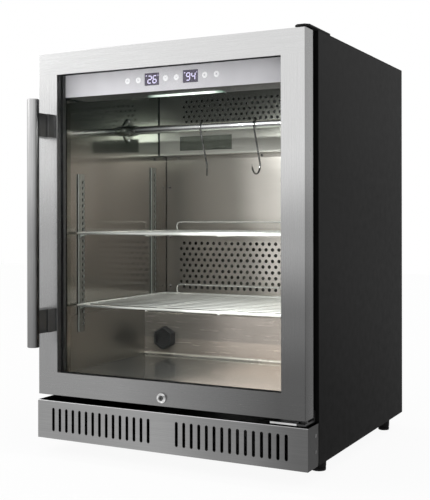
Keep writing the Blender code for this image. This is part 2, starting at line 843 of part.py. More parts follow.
def control_box():
    """Silver fascia, black housing, the board with both displays, buttons and the lamp."""
    low = control_bottom
    high = control_bottom + control_height
    half = control_width / 2
    slope = control_corner_cut / control_corner_run
    fascia_edge = half - control_corner_cut
    fascia_outline = rectangle(-half, fascia_edge, low, high)
    holes = []
    for side in (-1, 1):
        middle = side * display_from_middle
        holes.append(rectangle(middle - display_width / 2, middle + display_width / 2,
                               controls_height - display_height / 2,
                               controls_height + display_height / 2))
        for offset in button_offsets:
            holes.append(polygon((side * offset, controls_height),
                                 around(button_radius, seat_gap, 10), 10))
    pierced_sheet("control_fascia", "Y", fascia_outline, holes, control_front,
                  fascia_thickness, silver_plastic)
    box_front = fascia_back + seat_gap
    corner_x = fascia_edge + slope * (box_front - control_front)
    housing_outline = [(-half, box_front), (corner_x, box_front),
                       (half, control_front + control_corner_run), (half, control_back),
                       (-half, control_back)]
    housing = prism("control_box", "Z", housing_outline, low, high, black_plastic)
    raised = box("control_box_root", (-half, half),
                 (frame_back + seat_gap, control_back - outer_sheet),
                 (high - outer_sheet, interior_top - seat_gap), None)
    fuse(housing, raised)
    board_half = button_offsets[-1] + board_margin
    board_top = controls_height + display_height / 2 + board_gap
    board_low = controls_height - display_height / 2 - board_gap
    pocket = box("board_pocket", (-board_half - running_gap, board_half + running_gap),
                 (box_front - cut_overrun, box_front + board_pocket_depth),
                 (board_low - running_gap, board_top + running_gap), None)
    cut(housing, pocket)
    lamp_middle = cabinet_front + lamp_setback
    lamp_half = lamp_width / 2
    slot = box("lamp_slot", (-lamp_length / 2 - seat_gap, lamp_length / 2 + seat_gap),
               (lamp_middle - lamp_half - seat_gap, lamp_middle + lamp_half + seat_gap),
               (low - cut_overrun, low + lamp_depth + seat_gap), None)
    cut(housing, slot)
    display_front = control_front + display_recess
    board = box("display_board", (-board_half, board_half),
                (board_front, board_front + board_thickness), (board_low, board_top),
                display_black)
    modules = bmesh.new()
    for side in (-1, 1):
        middle = side * display_from_middle
        reach_x = display_width / 2 - seat_gap
        reach_z = display_height / 2 - seat_gap
        outline = rectangle(middle - reach_x, middle + reach_x,
                            controls_height - reach_z, controls_height + reach_z)
        add_loft(modules, [lay_out("Y", display_front, outline),
                           lay_out("Y", board_front + board_thickness / 2, outline)], False)
    fuse(board, finished("display_modules", modules, None))
    bulge = [(lamp_middle + a * lamp_half, low + b * lamp_proud)
             for a, b in arc((0, 0), 1, -math.pi, 0, 4)]
    bulge += [(lamp_middle + lamp_half, low + lamp_depth),
              (lamp_middle - lamp_half, low + lamp_depth)]
    prism("lamp_lens", "X", bulge, -lamp_length / 2, lamp_length / 2, white_plastic)
    buttons()


def buttons():
    """Six short-travel push buttons that press towards the board."""
    face = control_front - button_proud
    flange = fascia_back + seat_gap
    stem_end = board_front - button_travel - seat_gap
    names = ("outer", "middle", "inner")
    for side, hand in ((-1, "left"), (1, "right")):
        for offset, place in zip(button_offsets, reversed(names)):
            profile = [(0, face), (button_radius, face), (button_radius, flange),
                       (button_flange_radius, flange),
                       (button_flange_radius, flange + button_flange_thickness),
                       (button_stem_radius, flange + button_flange_thickness),
                       (button_stem_radius, stem_end), (0, stem_end)]
            x = side * offset
            name = "button_" + hand + "_" + place
            button = revolve(name, "Y", profile, (x, 0, controls_height), 10, silver_plastic)
            set_origin(button, (x, face, controls_height))


def shelf_heights():
    """Heights of the lower and the upper shelf, along the front strips."""
    foot = interior_floor + front_strip_above_floor
    return [foot + strip_length * share for share in shelf_place_shares]


def strips():
    """Notched shelf strips on the side walls, each with the two clips that carry the shelves."""
    front_place = cabinet_front + front_strip_setback
    rear_place = air_wall_front - rear_strip_from_air_wall
    places = (("front", front_place, front_strip_above_floor),
              ("rear", rear_place, rear_strip_above_floor))
    for hand, side in (("left", -1), ("right", 1)):
        for where, middle, rise in places:
            low = interior_floor + rise
            front = middle - strip_width / 2
            back = middle + strip_width / 2
            outline = [(front, low), (back, low)]
            count = int(strip_length / notch_pitch) - 1
            first = low + (strip_length - (count - 1) * notch_pitch) / 2
            for k in range(count):
                z = first + k * notch_pitch
                outline += [(back, z - notch_height / 2), (back - notch_depth, z - notch_height / 2),
                            (back, z + notch_height / 2)]
            outline += [(back, low + strip_length), (front, low + strip_length)]
            wall_side = side * (half_interior - seat_gap)
            strip = prism("shelf_strip_" + hand + "_" + where, "X", outline, wall_side,
                          side * strip_face, zinc_steel)
            clips = bmesh.new()
            for height in shelf_heights():
                top = height - shelf_rod_radius - seat_gap
                inner = strip_face - clip_length
                under = [(side * (strip_face + strip_thickness / 2), top),
                         (side * inner, top), (side * inner, top - clip_thickness / 2),
                         (side * (strip_face + strip_thickness / 2), top - clip_root_height)]
                start = front + running_gap
                add_loft(clips, [lay_out("Y", start, under),
                                 lay_out("Y", start + clip_width, under)], False)
            fuse(strip, finished("clips_" + hand + "_" + where, clips, None))


def shelf(name, height):
    """Welded wire shelf: rim rod, cross wires, two braces below and a raised lip at the back."""
    sides = 6
    middle_y = shelf_front + shelf_depth / 2
    rim_profile = [(a, height + b) for a, b in polygon((0, 0), shelf_rod_radius, sides)]
    rack = rectangular_ring(name, "Z", rim_profile, shelf_half_width, shelf_depth / 2,
                            (0, middle_y), chrome, smooth=True)
    wires = bmesh.new()
    pitch = shelf_depth / (shelf_wire_count + 1)
    for k in range(shelf_wire_count):
        y = shelf_front + pitch * (k + 1)
        bar("wire", (-shelf_half_width, y, height), (shelf_half_width, y, height),
            shelf_wire_radius, 4, None, wires)
    fuse(rack, finished(name + "_wires", wires, None))
    braces = bmesh.new()
    under = height - shelf_rod_radius
    for side in (-1, 1):
        x = side * shelf_brace_offset
        bar("brace", (x, shelf_front, under), (x, shelf_front + shelf_depth, under),
            shelf_brace_radius, 4, None, braces)
    fuse(rack, finished(name + "_braces", braces, None))
    rear = shelf_front + shelf_depth
    end = shelf_half_width - lip_from_side
    inner = lip_corner_radius
    top = height + lip_height
    left_bend = arc((-end + inner, top - inner), inner, math.pi, math.pi / 2, 3)
    right_bend = arc((end - inner, top - inner), inner, math.pi / 2, 0, 3)
    route = [(-end, height), *left_bend, *right_bend, (end, height)]
    lip = wire(name + "_lip", [(x, rear, z) for x, z in route], lip_radius, chrome)
    fuse(rack, closed_mesh(lip))
    set_origin(rack, (0, shelf_front, height))


def closed_mesh(curve_piece):
    """The solid of a wire as a mesh, so that it can be fused to another piece."""
    bpy.context.view_layer.update()
    mesh = bpy.data.meshes.new_from_object(curve_piece)
    builder = bmesh.new()
    builder.from_mesh(mesh)
    bmesh.ops.remove_doubles(builder, verts=builder.verts, dist=seat_gap / 10)
    name = curve_piece.name
    bpy.data.objects.remove(curve_piece, do_unlink=True)
    return finished(name + "_solid", builder, None)


def hanging_rod():
    """Chrome rod between two diamond-shaped wall flanges with sockets."""
    sides = 16
    for hand, side in (("left", -1), ("right", 1)):
        wall = half_interior - seat_gap
        flange = prism("rod_bracket_" + hand, "X",
                       polygon((rod_y, rod_z), rod_flange_half, 4), side * wall,
                       side * (wall - rod_flange_thickness), chrome)
        start = side * (wall - rod_flange_thickness / 2)
        end = side * (wall - rod_socket_length)
        fuse(flange, bar("rod_socket_" + hand, (start, rod_y, rod_z), (end, rod_y, rod_z),
                         rod_socket_radius, sides, None))
        bore = around(rod_radius, seat_gap, sides)
        cut(flange, bar("rod_bore_" + hand, (side * (wall - rod_flange_thickness), rod_y, rod_z),
                        (end - side * cut_overrun, rod_y, rod_z), bore, sides, None))
    reach = half_interior - 2 * seat_gap - rod_flange_thickness
    bar("hanging_rod", (-reach, rod_y, rod_z), (reach, rod_y, rod_z), rod_radius, sides, chrome)


def hook(name, x, twist):
    """S-shaped meat hook over the rod, its lower bend twisted about the shank's end."""
    wire_r = hook_wire_radius
    top_centre = (0, rod_radius + seat_gap + wire_r - hook_top_radius)
    bottom_centre = (0, -hook_drop + hook_bottom_radius)
    upper = arc(top_centre, hook_top_radius, math.radians(-35), math.radians(190), hook_arc_steps)
    lower = arc(bottom_centre, hook_bottom_radius, math.radians(8), math.radians(-180),
                hook_arc_steps)
    points = [(0, across, up) for across, up in upper]
    start = lower[0][0]
    for across, up in lower:
        reach = across - start
        points.append((reach * math.sin(twist), start + reach * math.cos(twist), up))
    piece = wire(name, points, wire_r, chrome)
    piece.location = (x, rod_y, rod_z)


def filter_cap():
    """Six-sided black cap of the air filter on the hump."""
    x = -(half_interior - filter_from_side)
    z = interior_floor + filter_above_floor
    back = hump_front - seat_gap
    front = back - filter_proud
    quarter = math.pi / 2
    loops = [lay_out("Y", level, polygon((x, z), radius, 6, quarter)) for level, radius in (
        (back, filter_radius), (front + filter_rim_bevel, filter_radius),
        (front, filter_radius - filter_rim_bevel))]
    loft("filter_cap", loops, black_plastic)


def fin_block(name, axis, length, depth, fins, start, level, finish):
    """A row of fins on a core, as one comb-shaped outline raised along Z."""
    pitch = length / fins
    core = depth * fin_core_share
    width = pitch * fin_share
    outline = [(start[0], start[1])]
    for k in range(fins):
        left = start[0] + pitch * k + (pitch - width) / 2
        outline += [(left, start[1] + core), (left, start[1] + depth),
                    (left + width, start[1] + depth), (left + width, start[1] + core)]
    outline += [(start[0] + length, start[1])]
    outline = [outline[0], (start[0], start[1] + core), *outline[1:-1],
               (start[0] + length, start[1] + core), outline[-1]]
    if axis == "Y":
        outline = [(b - start[1] + start[0], a - start[0] + start[1]) for a, b in outline]
    return prism(name, "Z", outline, *level, finish)


def fan(name, axis, centre, radius):
    """Bladed rotor: hub with pitched blades."""
    half = fan_depth / 2
    hub = revolve(name, axis, [(0, -half), (fan_hub_radius - outer_sheet, -half),
                               (fan_hub_radius, -half + outer_sheet), (fan_hub_radius, half),
                               (0, half)], centre, 12, black_plastic)
    blades = bmesh.new()
    root = fan_hub_radius * fan_root_share
    for k in range(fan_blade_count):
        turn = math.tau * k / fan_blade_count
        sections = []
        for reach, (spread, tilt) in zip((root, radius), fan_blade_shares):
            loop = []
            for across, lift in ((-1, -1), (1, -1), (1, 1), (-1, 1)):
                angle = turn + across * spread
                level = across * half * tilt + lift * fan_blade_thickness / 2
                flat = (reach * math.cos(angle), reach * math.sin(angle))
                loop.append(Vector(lay_out(axis, level, [flat])[0]) + Vector(centre))
            sections.append(loop)
        add_loft(blades, sections, False)
    fuse(hub, finished(name + "_blades", blades, None))
    set_origin(hub, centre)


def evaporator():
    """Finned coil behind the cover, with the fan's motor on an arm at its end."""
    right = half_interior - evaporator_right_margin
    left = right - evaporator_length
    back = liner_back - seat_gap
    front = back - evaporator_depth
    low = cover_bottom + evaporator_lift
    high = low + evaporator_height
    coil = fin_block("evaporator", "X", evaporator_length, -evaporator_depth,
                     evaporator_fin_count, (left, back), (low, high), aluminium_fin)
    fan_x = left - evaporator_fan_radius - fan_motor_arm
    fan_z = (low + high) / 2
    motor_front = front + fan_depth / 2
    fuse(coil, bar("evaporator_motor", (fan_x, motor_front, fan_z),
                   (fan_x, motor_front + fan_motor_length, fan_z), fan_motor_radius, 16, None))
    arm_y = motor_front + fan_motor_length / 2
    fuse(coil, box("motor_arm", (fan_x, left + fan_motor_arm),
                   (arm_y, back - outer_sheet),
                   (fan_z - fan_motor_arm / 2, fan_z + fan_motor_arm / 2), None))
    centre = (fan_x, motor_front - fan_depth / 2 - seat_gap, fan_z)
    fan("evaporator_fan", "Y", centre, evaporator_fan_radius)


def condenser():
    """Finned coil in the machine room with its fan shroud and motor, and the fan."""
    left = -(half_width - condenser_from_side)
    rear = cabinet_back - outer_sheet - condenser_from_back
    front = rear - condenser_depth
    low = machine_floor
    high = low + condenser_height
    coil = fin_block("condenser", "Y", condenser_depth, condenser_width, condenser_fin_count,
                     (left, front), (pan_floor_top + seat_gap, high), aluminium_fin)
    face = left + condenser_width
    middle = ((front + rear) / 2, (low + high) / 2)
    shroud_outline = rectangle(front, rear, pan_floor_top + seat_gap, high)
    opening = polygon(middle, around(condenser_fan_radius, shroud_clearance, 16), 16)
    shroud_start = face - outer_sheet
    shroud = pierced_sheet("fan_shroud", "X", shroud_outline, [opening], shroud_start,
                           shroud_thickness + fan_depth, None)
    fuse(coil, shroud)
    motor_start = shroud_start + shroud_thickness + fan_depth
    fan_x = motor_start - fan_depth / 2
    motor_face = fan_x + fan_depth / 2 + seat_gap
    fuse(coil, bar("condenser_motor", (motor_face, *middle),
                   (motor_face + fan_motor_length, *middle), fan_motor_radius, 16, None))
    fuse(coil, box("condenser_motor_arm", (motor_face + outer_sheet, motor_face + fan_motor_arm / 2),
                   (front + outer_sheet, rear - outer_sheet),
                   (middle[1] - fan_motor_arm / 2, middle[1] + fan_motor_arm / 2), None))
    feet_x = (shroud_start + outer_sheet, motor_face + fan_motor_arm / 2 - outer_sheet / 2)
    for start in (front + outer_sheet, rear - outer_sheet - fan_motor_arm):
        fuse(coil, box("motor_arm_end", feet_x, (start, start + fan_motor_arm),
                       (middle[1] - motor_foot_half, middle[1] + motor_foot_half), None))
    fan("condenser_fan", "X", (fan_x - seat_gap, *middle), condenser_fan_radius)


def compressor():
    """Welded two-part shell on a base plate, with suction and discharge stubs."""
    x = half_width - compressor_from_side
    y = (machine_front + cabinet_back) / 2
    low = pan_floor_top + seat_gap
    plate_half = compressor_radius + compressor_plate_margin
    r = compressor_radius
    h = compressor_height
    base = low + compressor_plate
    profile = [(r * out + compressor_seam * seam, base + h * up)
               for out, up, seam in compressor_profile_shares]
    shell = revolve("compressor", "Z", profile, (x, y, 0), 16, black_steel)
    fuse(shell, box("compressor_plate", (x - plate_half, x + plate_half),
                    (y - plate_half, y + plate_half), (low, base + compressor_plate), None))
    stubs = bmesh.new()
    for side in (-1, 1):
        place = x + side * r * stub_place_share
        bar("stub", (place, y, base + h * stub_root_share),
            (place, y, base + h + compressor_stub_rise), compressor_stub_radius, 8, None, stubs)
    fuse(shell, finished("pipe_stubs", stubs, None))


def door():
    """Steel frame round double glazing in a black inner frame, with the magnetic gasket."""
    centre = (0, door_middle_height)
    bevel = door_edge_bevel
    sheet = door_sheet
    skin = [(0, door_front + door_return_depth), (0, door_front + bevel), (-bevel, door_front),
            (-door_face_width + bevel, door_front), (-door_face_width, door_front + bevel),
            (-door_face_width, door_front + sheet), (-sheet, door_front + sheet),
            (-sheet, door_front + door_return_depth)]
    frame = rectangular_ring("door_frame", "Y", skin, half_door, half_door_height, centre,
                             brushed_steel)
    core = door_front + sheet + seat_gap
    edge = sheet + seat_gap
    pocket = door_face_width - glass_cover_width
    glass_back = core + 2 * glass_thickness + glass_air_space + 2 * seat_gap
    lip = door_face_width - jamb_front_step
    inside = [(-edge, core), (-edge, door_back), (-(lip - jamb_flare), door_back),
              (-lip, glass_back + seat_gap), (-pocket + seat_gap, glass_back + seat_gap),
              (-pocket + seat_gap, core)]
    inner = rectangular_ring("door_inner_frame", "Y", inside, half_door, half_door_height,
                             centre, black_plastic)
    glass_half = half_door - pocket
    glass_half_height = half_door_height - pocket
    wide = (-glass_half, glass_half)
    tall = (door_middle_height - glass_half_height, door_middle_height + glass_half_height)
    outer_glass = box("glass_outer", wide, (core, core + glass_thickness), tall, clear_glass)
    spacer_front = core + glass_thickness + seat_gap
    spacer_back = spacer_front + glass_air_space
    bar_outline = [(0, spacer_front), (0, spacer_back), (-spacer_width, spacer_back),
                   (-spacer_width, spacer_front)]
    spacer = rectangular_ring("glass_spacer", "Y", bar_outline, glass_half, glass_half_height,
                              centre, black_plastic)
    inner_glass = box("glass_inner", wide,
                      (spacer_back + seat_gap, glass_back), tall, clear_glass)
    seal = gasket()
    hinge_bores(frame, inner)
    bezel, plug = lock(frame, inner)
    parts = [frame, inner, outer_glass, spacer, inner_glass, seal, bezel, *handle()]
    hinge = joint_frame("door_hinge_axis", (hinge_x, hinge_y, door_middle_height), parts)
    plug.parent = hinge
    plug.matrix_parent_inverse = hinge.matrix_world.inverted()


def gasket():
    """Bellows-shaped magnetic seal between the door and the front frame."""
    front = door_back + seat_gap
    back = cabinet_front - seat_gap
    inner = (half_interior + gasket_side_inset, interior_floor - gasket_end_inset,
             interior_top + gasket_end_inset)
    fold = (back - front) / 4
    waist = gasket_waist
    section = [(0, front), (gasket_width, front), (gasket_width, front + fold / 2),
               (gasket_width - waist, front + fold), (gasket_width, back - fold),
               (gasket_width, back), (0, back), (0, back - fold),
               (waist, front + fold), (0, front + fold / 2)]
    loops = []
    for out, level in section:
        outline = rectangle(-inner[0] - out, inner[0] + out, inner[1] - out, inner[2] + out)
        loops.append(lay_out("Y", level, outline))
    return loft("door_gasket", loops, black_rubber, ring=True)


def hinge_bores(frame, inner):
    """Bores in the door's top and bottom edges that turn on the hinge pins."""
    sides = 16
    radius = around(hinge_pin_radius, running_gap, sides)
    depth = hinge_pin_length + running_gap
    for end, start, finish in (("top", door_top - depth, door_top + cut_overrun),
                               ("bottom", door_bottom - cut_overrun, door_bottom + depth)):
        for label, piece in (("skin", frame), ("core", inner)):
            cut(piece, bar("hinge_bore_" + end + "_" + label, (hinge_x, hinge_y, start),
                           (hinge_x, hinge_y, finish), radius, sides, None))


def lock(frame, inner):
    """Ring and barrel through the bottom rail, and the turning plug with its tongue."""
    sides = 16
    bore = around(lock_barrel_radius, seat_gap, sides)
    for label, piece in (("skin", frame), ("core", inner)):
        cut(piece, bar("lock_bore_" + label, (0, door_front - cut_overrun, lock_height),
                       (0, door_back + cut_overrun, lock_height), bore, sides, None))
    face = door_front - lock_ring_height
    plug_bore = around(lock_plug_radius, running_gap, sides)
    ring_back = door_front - seat_gap
    bevel = door_edge_bevel
    profile = [(plug_bore, face), (lock_ring_radius - bevel, face),
               (lock_ring_radius, face + bevel), (lock_ring_radius, ring_back),
               (lock_barrel_radius, ring_back), (lock_barrel_radius, door_back),
               (plug_bore, door_back)]
    bezel = revolve("lock_ring", "Y", profile, (0, 0, lock_height), sides, chrome, ring=True)
    tongue_back = tongue_front + lock_tongue_thickness
    plug_front = face - lock_plug_proud
    plug = bar("lock_plug", (0, plug_front, lock_height),
               (0, tongue_back - outer_sheet, lock_height), lock_plug_radius, sides, chrome)
    half = lock_tongue_width / 2
    tongue_outline = [(0, lock_height - half), (lock_tongue_length - half, lock_height - half),
                      *arc((lock_tongue_length - half, lock_height), half,
                           -math.pi / 3, math.pi / 3, 2),
                      (lock_tongue_length - half, lock_height + half), (0, lock_height + half)]
    fuse(plug, prism("lock_tongue", "Y", tongue_outline, tongue_front, tongue_back, None))
    keyway = box("keyway", (-keyway_width / 2, keyway_width / 2),
                 (plug_front - cut_overrun, plug_front + keyway_depth),
                 (lock_height - keyway_height / 2, lock_height + keyway_height / 2), None)
    cut(plug, keyway)
    set_origin(plug, (0, door_front, lock_height))
    return bezel, plug


def handle():
    """Round bar handle in two black brackets on the left stile."""
    x = -(half_door - handle_from_side)
    y = door_front - handle_standoff
    low = door_bottom + handle_bottom_above_door
    high = low + handle_length
    r = handle_radius
    profile = [(0, low), (r - handle_end_bevel, low), (r, low + handle_end_bevel),
               (r, high - handle_end_bevel), (r - handle_end_bevel, high), (0, high)]
    tube = revolve("handle_tube", "Z", profile, (x, y, 0), 24, brushed_steel)
    half = bracket_half_width
    seat = r + seat_gap
    base = door_front - seat_gap
    joint = door_front - bracket_joint_from_door
    groove = bracket_joint_groove / 2
    end = y - bracket_past_centre
    mouth = math.asin(bracket_past_centre / seat)
    saddle = arc((x, y), seat, math.pi + mouth, -mouth, 12)
    outline = [(x - half, base), (x - half, joint + groove),
               (x - half + bracket_groove_depth, joint + groove),
               (x - half + bracket_groove_depth, joint - groove),
               (x - half, joint - groove), (x - half, end), *saddle, (x + half, end),
               (x + half, joint - groove), (x + half - bracket_groove_depth, joint - groove),
               (x + half - bracket_groove_depth, joint + groove), (x + half, joint + groove),
               (x + half, base)]
    pieces = [tube]
    for name, start in (("handle_bracket_lower", low + bracket_end_offset),
                        ("handle_bracket_upper", high - bracket_end_offset - bracket_height)):
        pieces.append(prism(name, "Z", outline, start, start + bracket_height, black_plastic))
    return pieces


def hinges():
    """Pin plates over and under the door on the right."""
    sides = 12
    plate_low = cabinet_top + seat_gap
    plate_top = plate_low + hinge_top_plate
    right = half_width
    left = right - top_hinge_width
    rear = cabinet_front + top_hinge_reach
    front = hinge_y - top_hinge_overhang
    corner = top_hinge_width / 4
    outline = [(left, rear), (left, front + corner), (left + corner, front),
               (right - corner, front), (right, front + corner), (right, rear)]
    top = prism("hinge_top", "Z", outline, plate_low, plate_top, black_steel)
    fuse(top, bar("top_pin", (hinge_x, hinge_y, plate_low + outer_sheet),
                  (hinge_x, hinge_y, door_top - hinge_pin_length + running_gap),
                  hinge_pin_radius, sides, None))
    arm_top = door_bottom - bottom_hinge_drop
    arm_low = arm_top - bottom_hinge_arm
    arm_right = hinge_x + hinge_collar_radius
    arm_left = arm_right - bottom_hinge_width
    back = cabinet_front - seat_gap
    arm_front = door_front + bottom_hinge_setback
    flange_front = back - bottom_hinge_flange
    flange_top = arm_low + bottom_hinge_flange_height
    side_view = [(arm_front, arm_low), (back, arm_low), (back, flange_top),
                 (flange_front, flange_top), (flange_front, arm_top), (arm_front, arm_top)]
    bottom = prism("hinge_bottom", "X", side_view, arm_left, arm_right, brushed_steel)
    fuse(bottom, bar("bottom_collar", (hinge_x, hinge_y, arm_top - outer_sheet),
                     (hinge_x, hinge_y, door_bottom - seat_gap), hinge_collar_radius, sides,
                     None))
    fuse(bottom, bar("bottom_pin", (hinge_x, hinge_y, arm_top),
                     (hinge_x, hinge_y, door_bottom + hinge_pin_length - running_gap),
                     hinge_pin_radius, sides, None))


def slot_outline(x, low, high, width):
    half = width / 2
    return [*arc((x, high - half), half, 0, math.pi, 2),
            *arc((x, low + half), half, math.pi, math.tau, 2)]


def kick_plate():
    """Slotted plate under the door, folded back at both ends, with the lock's catch."""
    back = cabinet_front - seat_gap
    holes = []
    low = base_bottom + slot_above_base
    for side in (-1, 1):
        for k in range(slots_per_group):
            x = side * (slot_group_inner + k * slot_pitch)
            holes.append(slot_outline(x, low, low + slot_length, slot_width))
    plate = pierced_sheet("kick_plate", "Y", rectangle(-half_width, half_width, base_bottom,
                                                       kick_top),
                          holes, kick_front, kick_sheet, brushed_steel)
    folds = bmesh.new()
    inside = kick_front + kick_sheet / 2
    for side in (-1, 1):
        span = sorted((side * half_width, side * (half_width - kick_sheet)))
        add_loft(folds, [lay_out("Z", base_bottom, rectangle(*span, inside, back)),
                         lay_out("Z", kick_top, rectangle(*span, inside, back))], False)
    fuse(plate, finished("kick_returns", folds, None))
    catch_back = tongue_front - catch_from_tongue
    catch_top = kick_top + catch_top_above_kick
    hem_low = kick_top - kick_sheet
    hem_edge = kick_front + kick_sheet + kick_hem
    inner_edge = half_width - kick_sheet / 2
    half = catch_width / 2
    hem_outline = [(-inner_edge, inside), (inner_edge, inside), (inner_edge, hem_edge),
                   (half, hem_edge), (half, catch_back), (-half, catch_back), (-half, hem_edge),
                   (-inner_edge, hem_edge)]
    fuse(plate, prism("kick_hem", "Z", hem_outline, hem_low, kick_top, None))
    fuse(plate, box("lock_catch", (-half, half), (catch_back - kick_sheet, catch_back),
                    (hem_low + kick_sheet / 2, catch_top), None))


outer_panels()
back_panel()
power_inlet()
base_pan()
feet()
front_frame()
insulation()
liner()
air_wall()
evaporator_cover()
control_box()
strips()
for shelf_name, shelf_height in zip(("shelf_lower", "shelf_upper"), shelf_heights()):
    shelf(shelf_name, shelf_height)
hanging_rod()
hook("hook_left", left_hook_place, left_hook_twist)
hook("hook_right", right_hook_place, 0.0)
filter_cap()
evaporator()
condenser()
compressor()
door()
hinges()
kick_plate()
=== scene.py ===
"""Looks of the dry aging cabinet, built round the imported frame. Metres, +Z up, -Y to the door."""
import math

import bmesh
import bpy
from mathutils import Euler, Matrix, Vector


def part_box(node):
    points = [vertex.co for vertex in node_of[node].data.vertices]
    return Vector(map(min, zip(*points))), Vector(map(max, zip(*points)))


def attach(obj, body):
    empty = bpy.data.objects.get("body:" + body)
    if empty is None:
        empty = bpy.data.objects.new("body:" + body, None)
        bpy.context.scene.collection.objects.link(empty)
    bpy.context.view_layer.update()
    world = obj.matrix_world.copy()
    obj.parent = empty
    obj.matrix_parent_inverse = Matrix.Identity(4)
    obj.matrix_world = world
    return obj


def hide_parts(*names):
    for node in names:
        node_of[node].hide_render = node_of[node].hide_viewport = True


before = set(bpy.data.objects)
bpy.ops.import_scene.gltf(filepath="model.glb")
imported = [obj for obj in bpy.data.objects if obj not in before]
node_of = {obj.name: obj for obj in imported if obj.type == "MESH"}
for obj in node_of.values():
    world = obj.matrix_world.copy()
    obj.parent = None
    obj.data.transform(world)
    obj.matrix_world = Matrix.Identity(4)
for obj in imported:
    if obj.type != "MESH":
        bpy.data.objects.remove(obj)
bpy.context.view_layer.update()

scene = bpy.context.scene


def low_of(node):
    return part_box(node)[0]


def high_of(node):
    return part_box(node)[1]


def middle_of(node):
    return [(low + high) / 2 for low, high in zip(*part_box(node))]


# Places that the CAD nodes give
door_low, door_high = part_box("door_frame")
wall_low, wall_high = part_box("air_wall")
cover_low, cover_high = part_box("evaporator_cover")
kick_low, kick_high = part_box("kick_plate")
back_low, back_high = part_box("back_panel")
rod_low, rod_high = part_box("hanging_rod")
tube_low, tube_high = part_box("handle_tube")
door_front = door_low.y
interior_half = low_of("liner_right").x
step_height = 0.1016
interior_floor = high_of("liner_floor").z - step_height
frame_middle = middle_of("door_frame")[2]

# The clearance between a piece and its seat, and directions; the door looks outward
seat_gap = 0.0003
up = (0, 0, 1)
down = (0, 0, -1)
across = (1, 0, 0)
inward = (0, 1, 0)
outward = (0, -1, 0)


def arc(centre, radius, first, last, steps):
    """Points on an arc between two angles in degrees, both ends included."""
    angles = [math.radians(first + (last - first) * k / steps) for k in range(steps + 1)]
    return [(centre[0] + radius * math.cos(a), centre[1] + radius * math.sin(a)) for a in angles]


def add_node(tree, kind, inputs=None, **settings):
    """Add a node and give back its first usable output; a list of sockets feeds one input."""
    node = tree.nodes.new(kind)
    for key, value in settings.items():
        setattr(node, key, value)
    for key, value in (inputs or {}).items():
        if isinstance(value, (bpy.types.NodeSocket, list)):
            for source in value if isinstance(value, list) else [value]:
                tree.links.new(source, node.inputs[key])
        else:
            node.inputs[key].default_value = value
    return next((output for output in node.outputs if output.enabled), None)


# ---- materials
class Finish:
    """A node material under construction, with short calls for the nodes that finishes share."""

    def __init__(self, name, colour, roughness, metallic=0.0):
        self.material = bpy.data.materials.new(name)
        self.material.use_nodes = True
        self.tree = self.material.node_tree
        self.shader = self.tree.nodes["Principled BSDF"]
        self.fixed("Base Color", (*colour, 1))
        self.fixed("Roughness", roughness)
        self.fixed("Metallic", metallic)
        source = self.tree.nodes.new("ShaderNodeTexCoord")
        self.place = source.outputs["Object"]
        self.facing = source.outputs["Normal"]

    def add(self, kind, inputs, **settings):
        return add_node(self.tree, "ShaderNode" + kind, inputs, **settings)

    def fixed(self, label, value):
        self.shader.inputs[label].default_value = value

    def drive(self, label, source):
        self.tree.links.new(source, self.shader.inputs[label])

    def noise(self, scale, stretch=(1, 1, 1), detail=3.0, rough=0.5):
        place = self.add("Mapping", {"Vector": self.place, "Scale": stretch})
        return self.add("TexNoise", {"Vector": place, "Scale": scale, "Detail": detail, "Roughness": rough})

    def dot(self, first, second):
        return self.add("VectorMath", {0: first, 1: second}, operation="DOT_PRODUCT")

    def along(self, direction, start, end, vector=None):
        """0 to 1 along a direction, between two distances from the origin."""
        return self.span(self.dot(vector or self.place, direction), start, end, 0, 1)

    def looks(self, direction):
        """1 on the faces that look along a direction."""
        return self.along(direction, 0.3, 0.95, self.facing)

    def facing_shade(self, base, direction, dark):
        """Darken a colour on the faces that look along a direction, as painted shade."""
        return self.blend("MULTIPLY", base, (dark, dark, dark), self.looks(direction))

    def cloud(self, noise):
        """Slow noise round 0, to push a gradient to and fro; a number is the noise's scale."""
        if isinstance(noise, float):
            noise = self.noise(noise, detail=2)
        return self.span(noise, 0, 1, -0.5, 0.5)

    def streaks(self, grain, dark, edge=0.25):
        """White with darker streaks where a grain is low."""
        return self.ramp(grain, {edge: dark, 1 - edge: 255}, smooth=False)

    def span(self, value, from_low, from_high, to_low, to_high):
        return self.add("MapRange", {"Value": value, "From Min": from_low, "From Max": from_high,
                                     "To Min": to_low, "To Max": to_high})

    def sum(self, first, second, share=1.0):
        return self.add("Math", {0: second, 1: share, 2: first}, operation="MULTIPLY_ADD")

    def ramp(self, value, stops, smooth=True):
        """A gradient, from display levels by place or from pairs of a place and a linear colour."""
        if isinstance(stops, dict):
            stops = [(place, shade(level)) for place, level in stops.items()]
        colour = self.add("ValToRGB", {"Fac": value})
        band = colour.node.color_ramp
        band.interpolation = "EASE" if smooth else "LINEAR"
        while len(band.elements) > 1:
            band.elements.remove(band.elements[-1])
        for number, (place, tint) in enumerate(stops):
            point = band.elements[0] if number == 0 else band.elements.new(place)
            point.position = place
            point.color = (*tint, 1)
        return colour

    def blend(self, way, first, second, share):
        """Mix two colours; the share is a number or another node's value."""
        if isinstance(second, tuple):
            second = (*second, 1)
        return self.add("Mix", {"Factor": share, "A": first, "B": second}, data_type="RGBA", blend_type=way)

    def times(self, first, second):
        return self.blend("MULTIPLY", first, second, 1.0)

    def colour(self, source):
        self.drive("Base Color", source)

    def roughness(self, source):
        self.drive("Roughness", source)

    def bump(self, height, distance, strength=1.0):
        self.drive("Normal", self.add("Bump", {"Height": height, "Distance": distance,
                                               "Strength": strength}))


def shade(level):
    """Linear colour for a display level of 0 to 255, or for three of them."""
    def linear(share):
        return share / 12.92 if share <= 0.04045 else ((share + 0.055) / 1.055) ** 2.4
    red, green, blue = level if isinstance(level, tuple) else (level, level, level)
    return (linear(red / 255), linear(green / 255), linear(blue / 255))


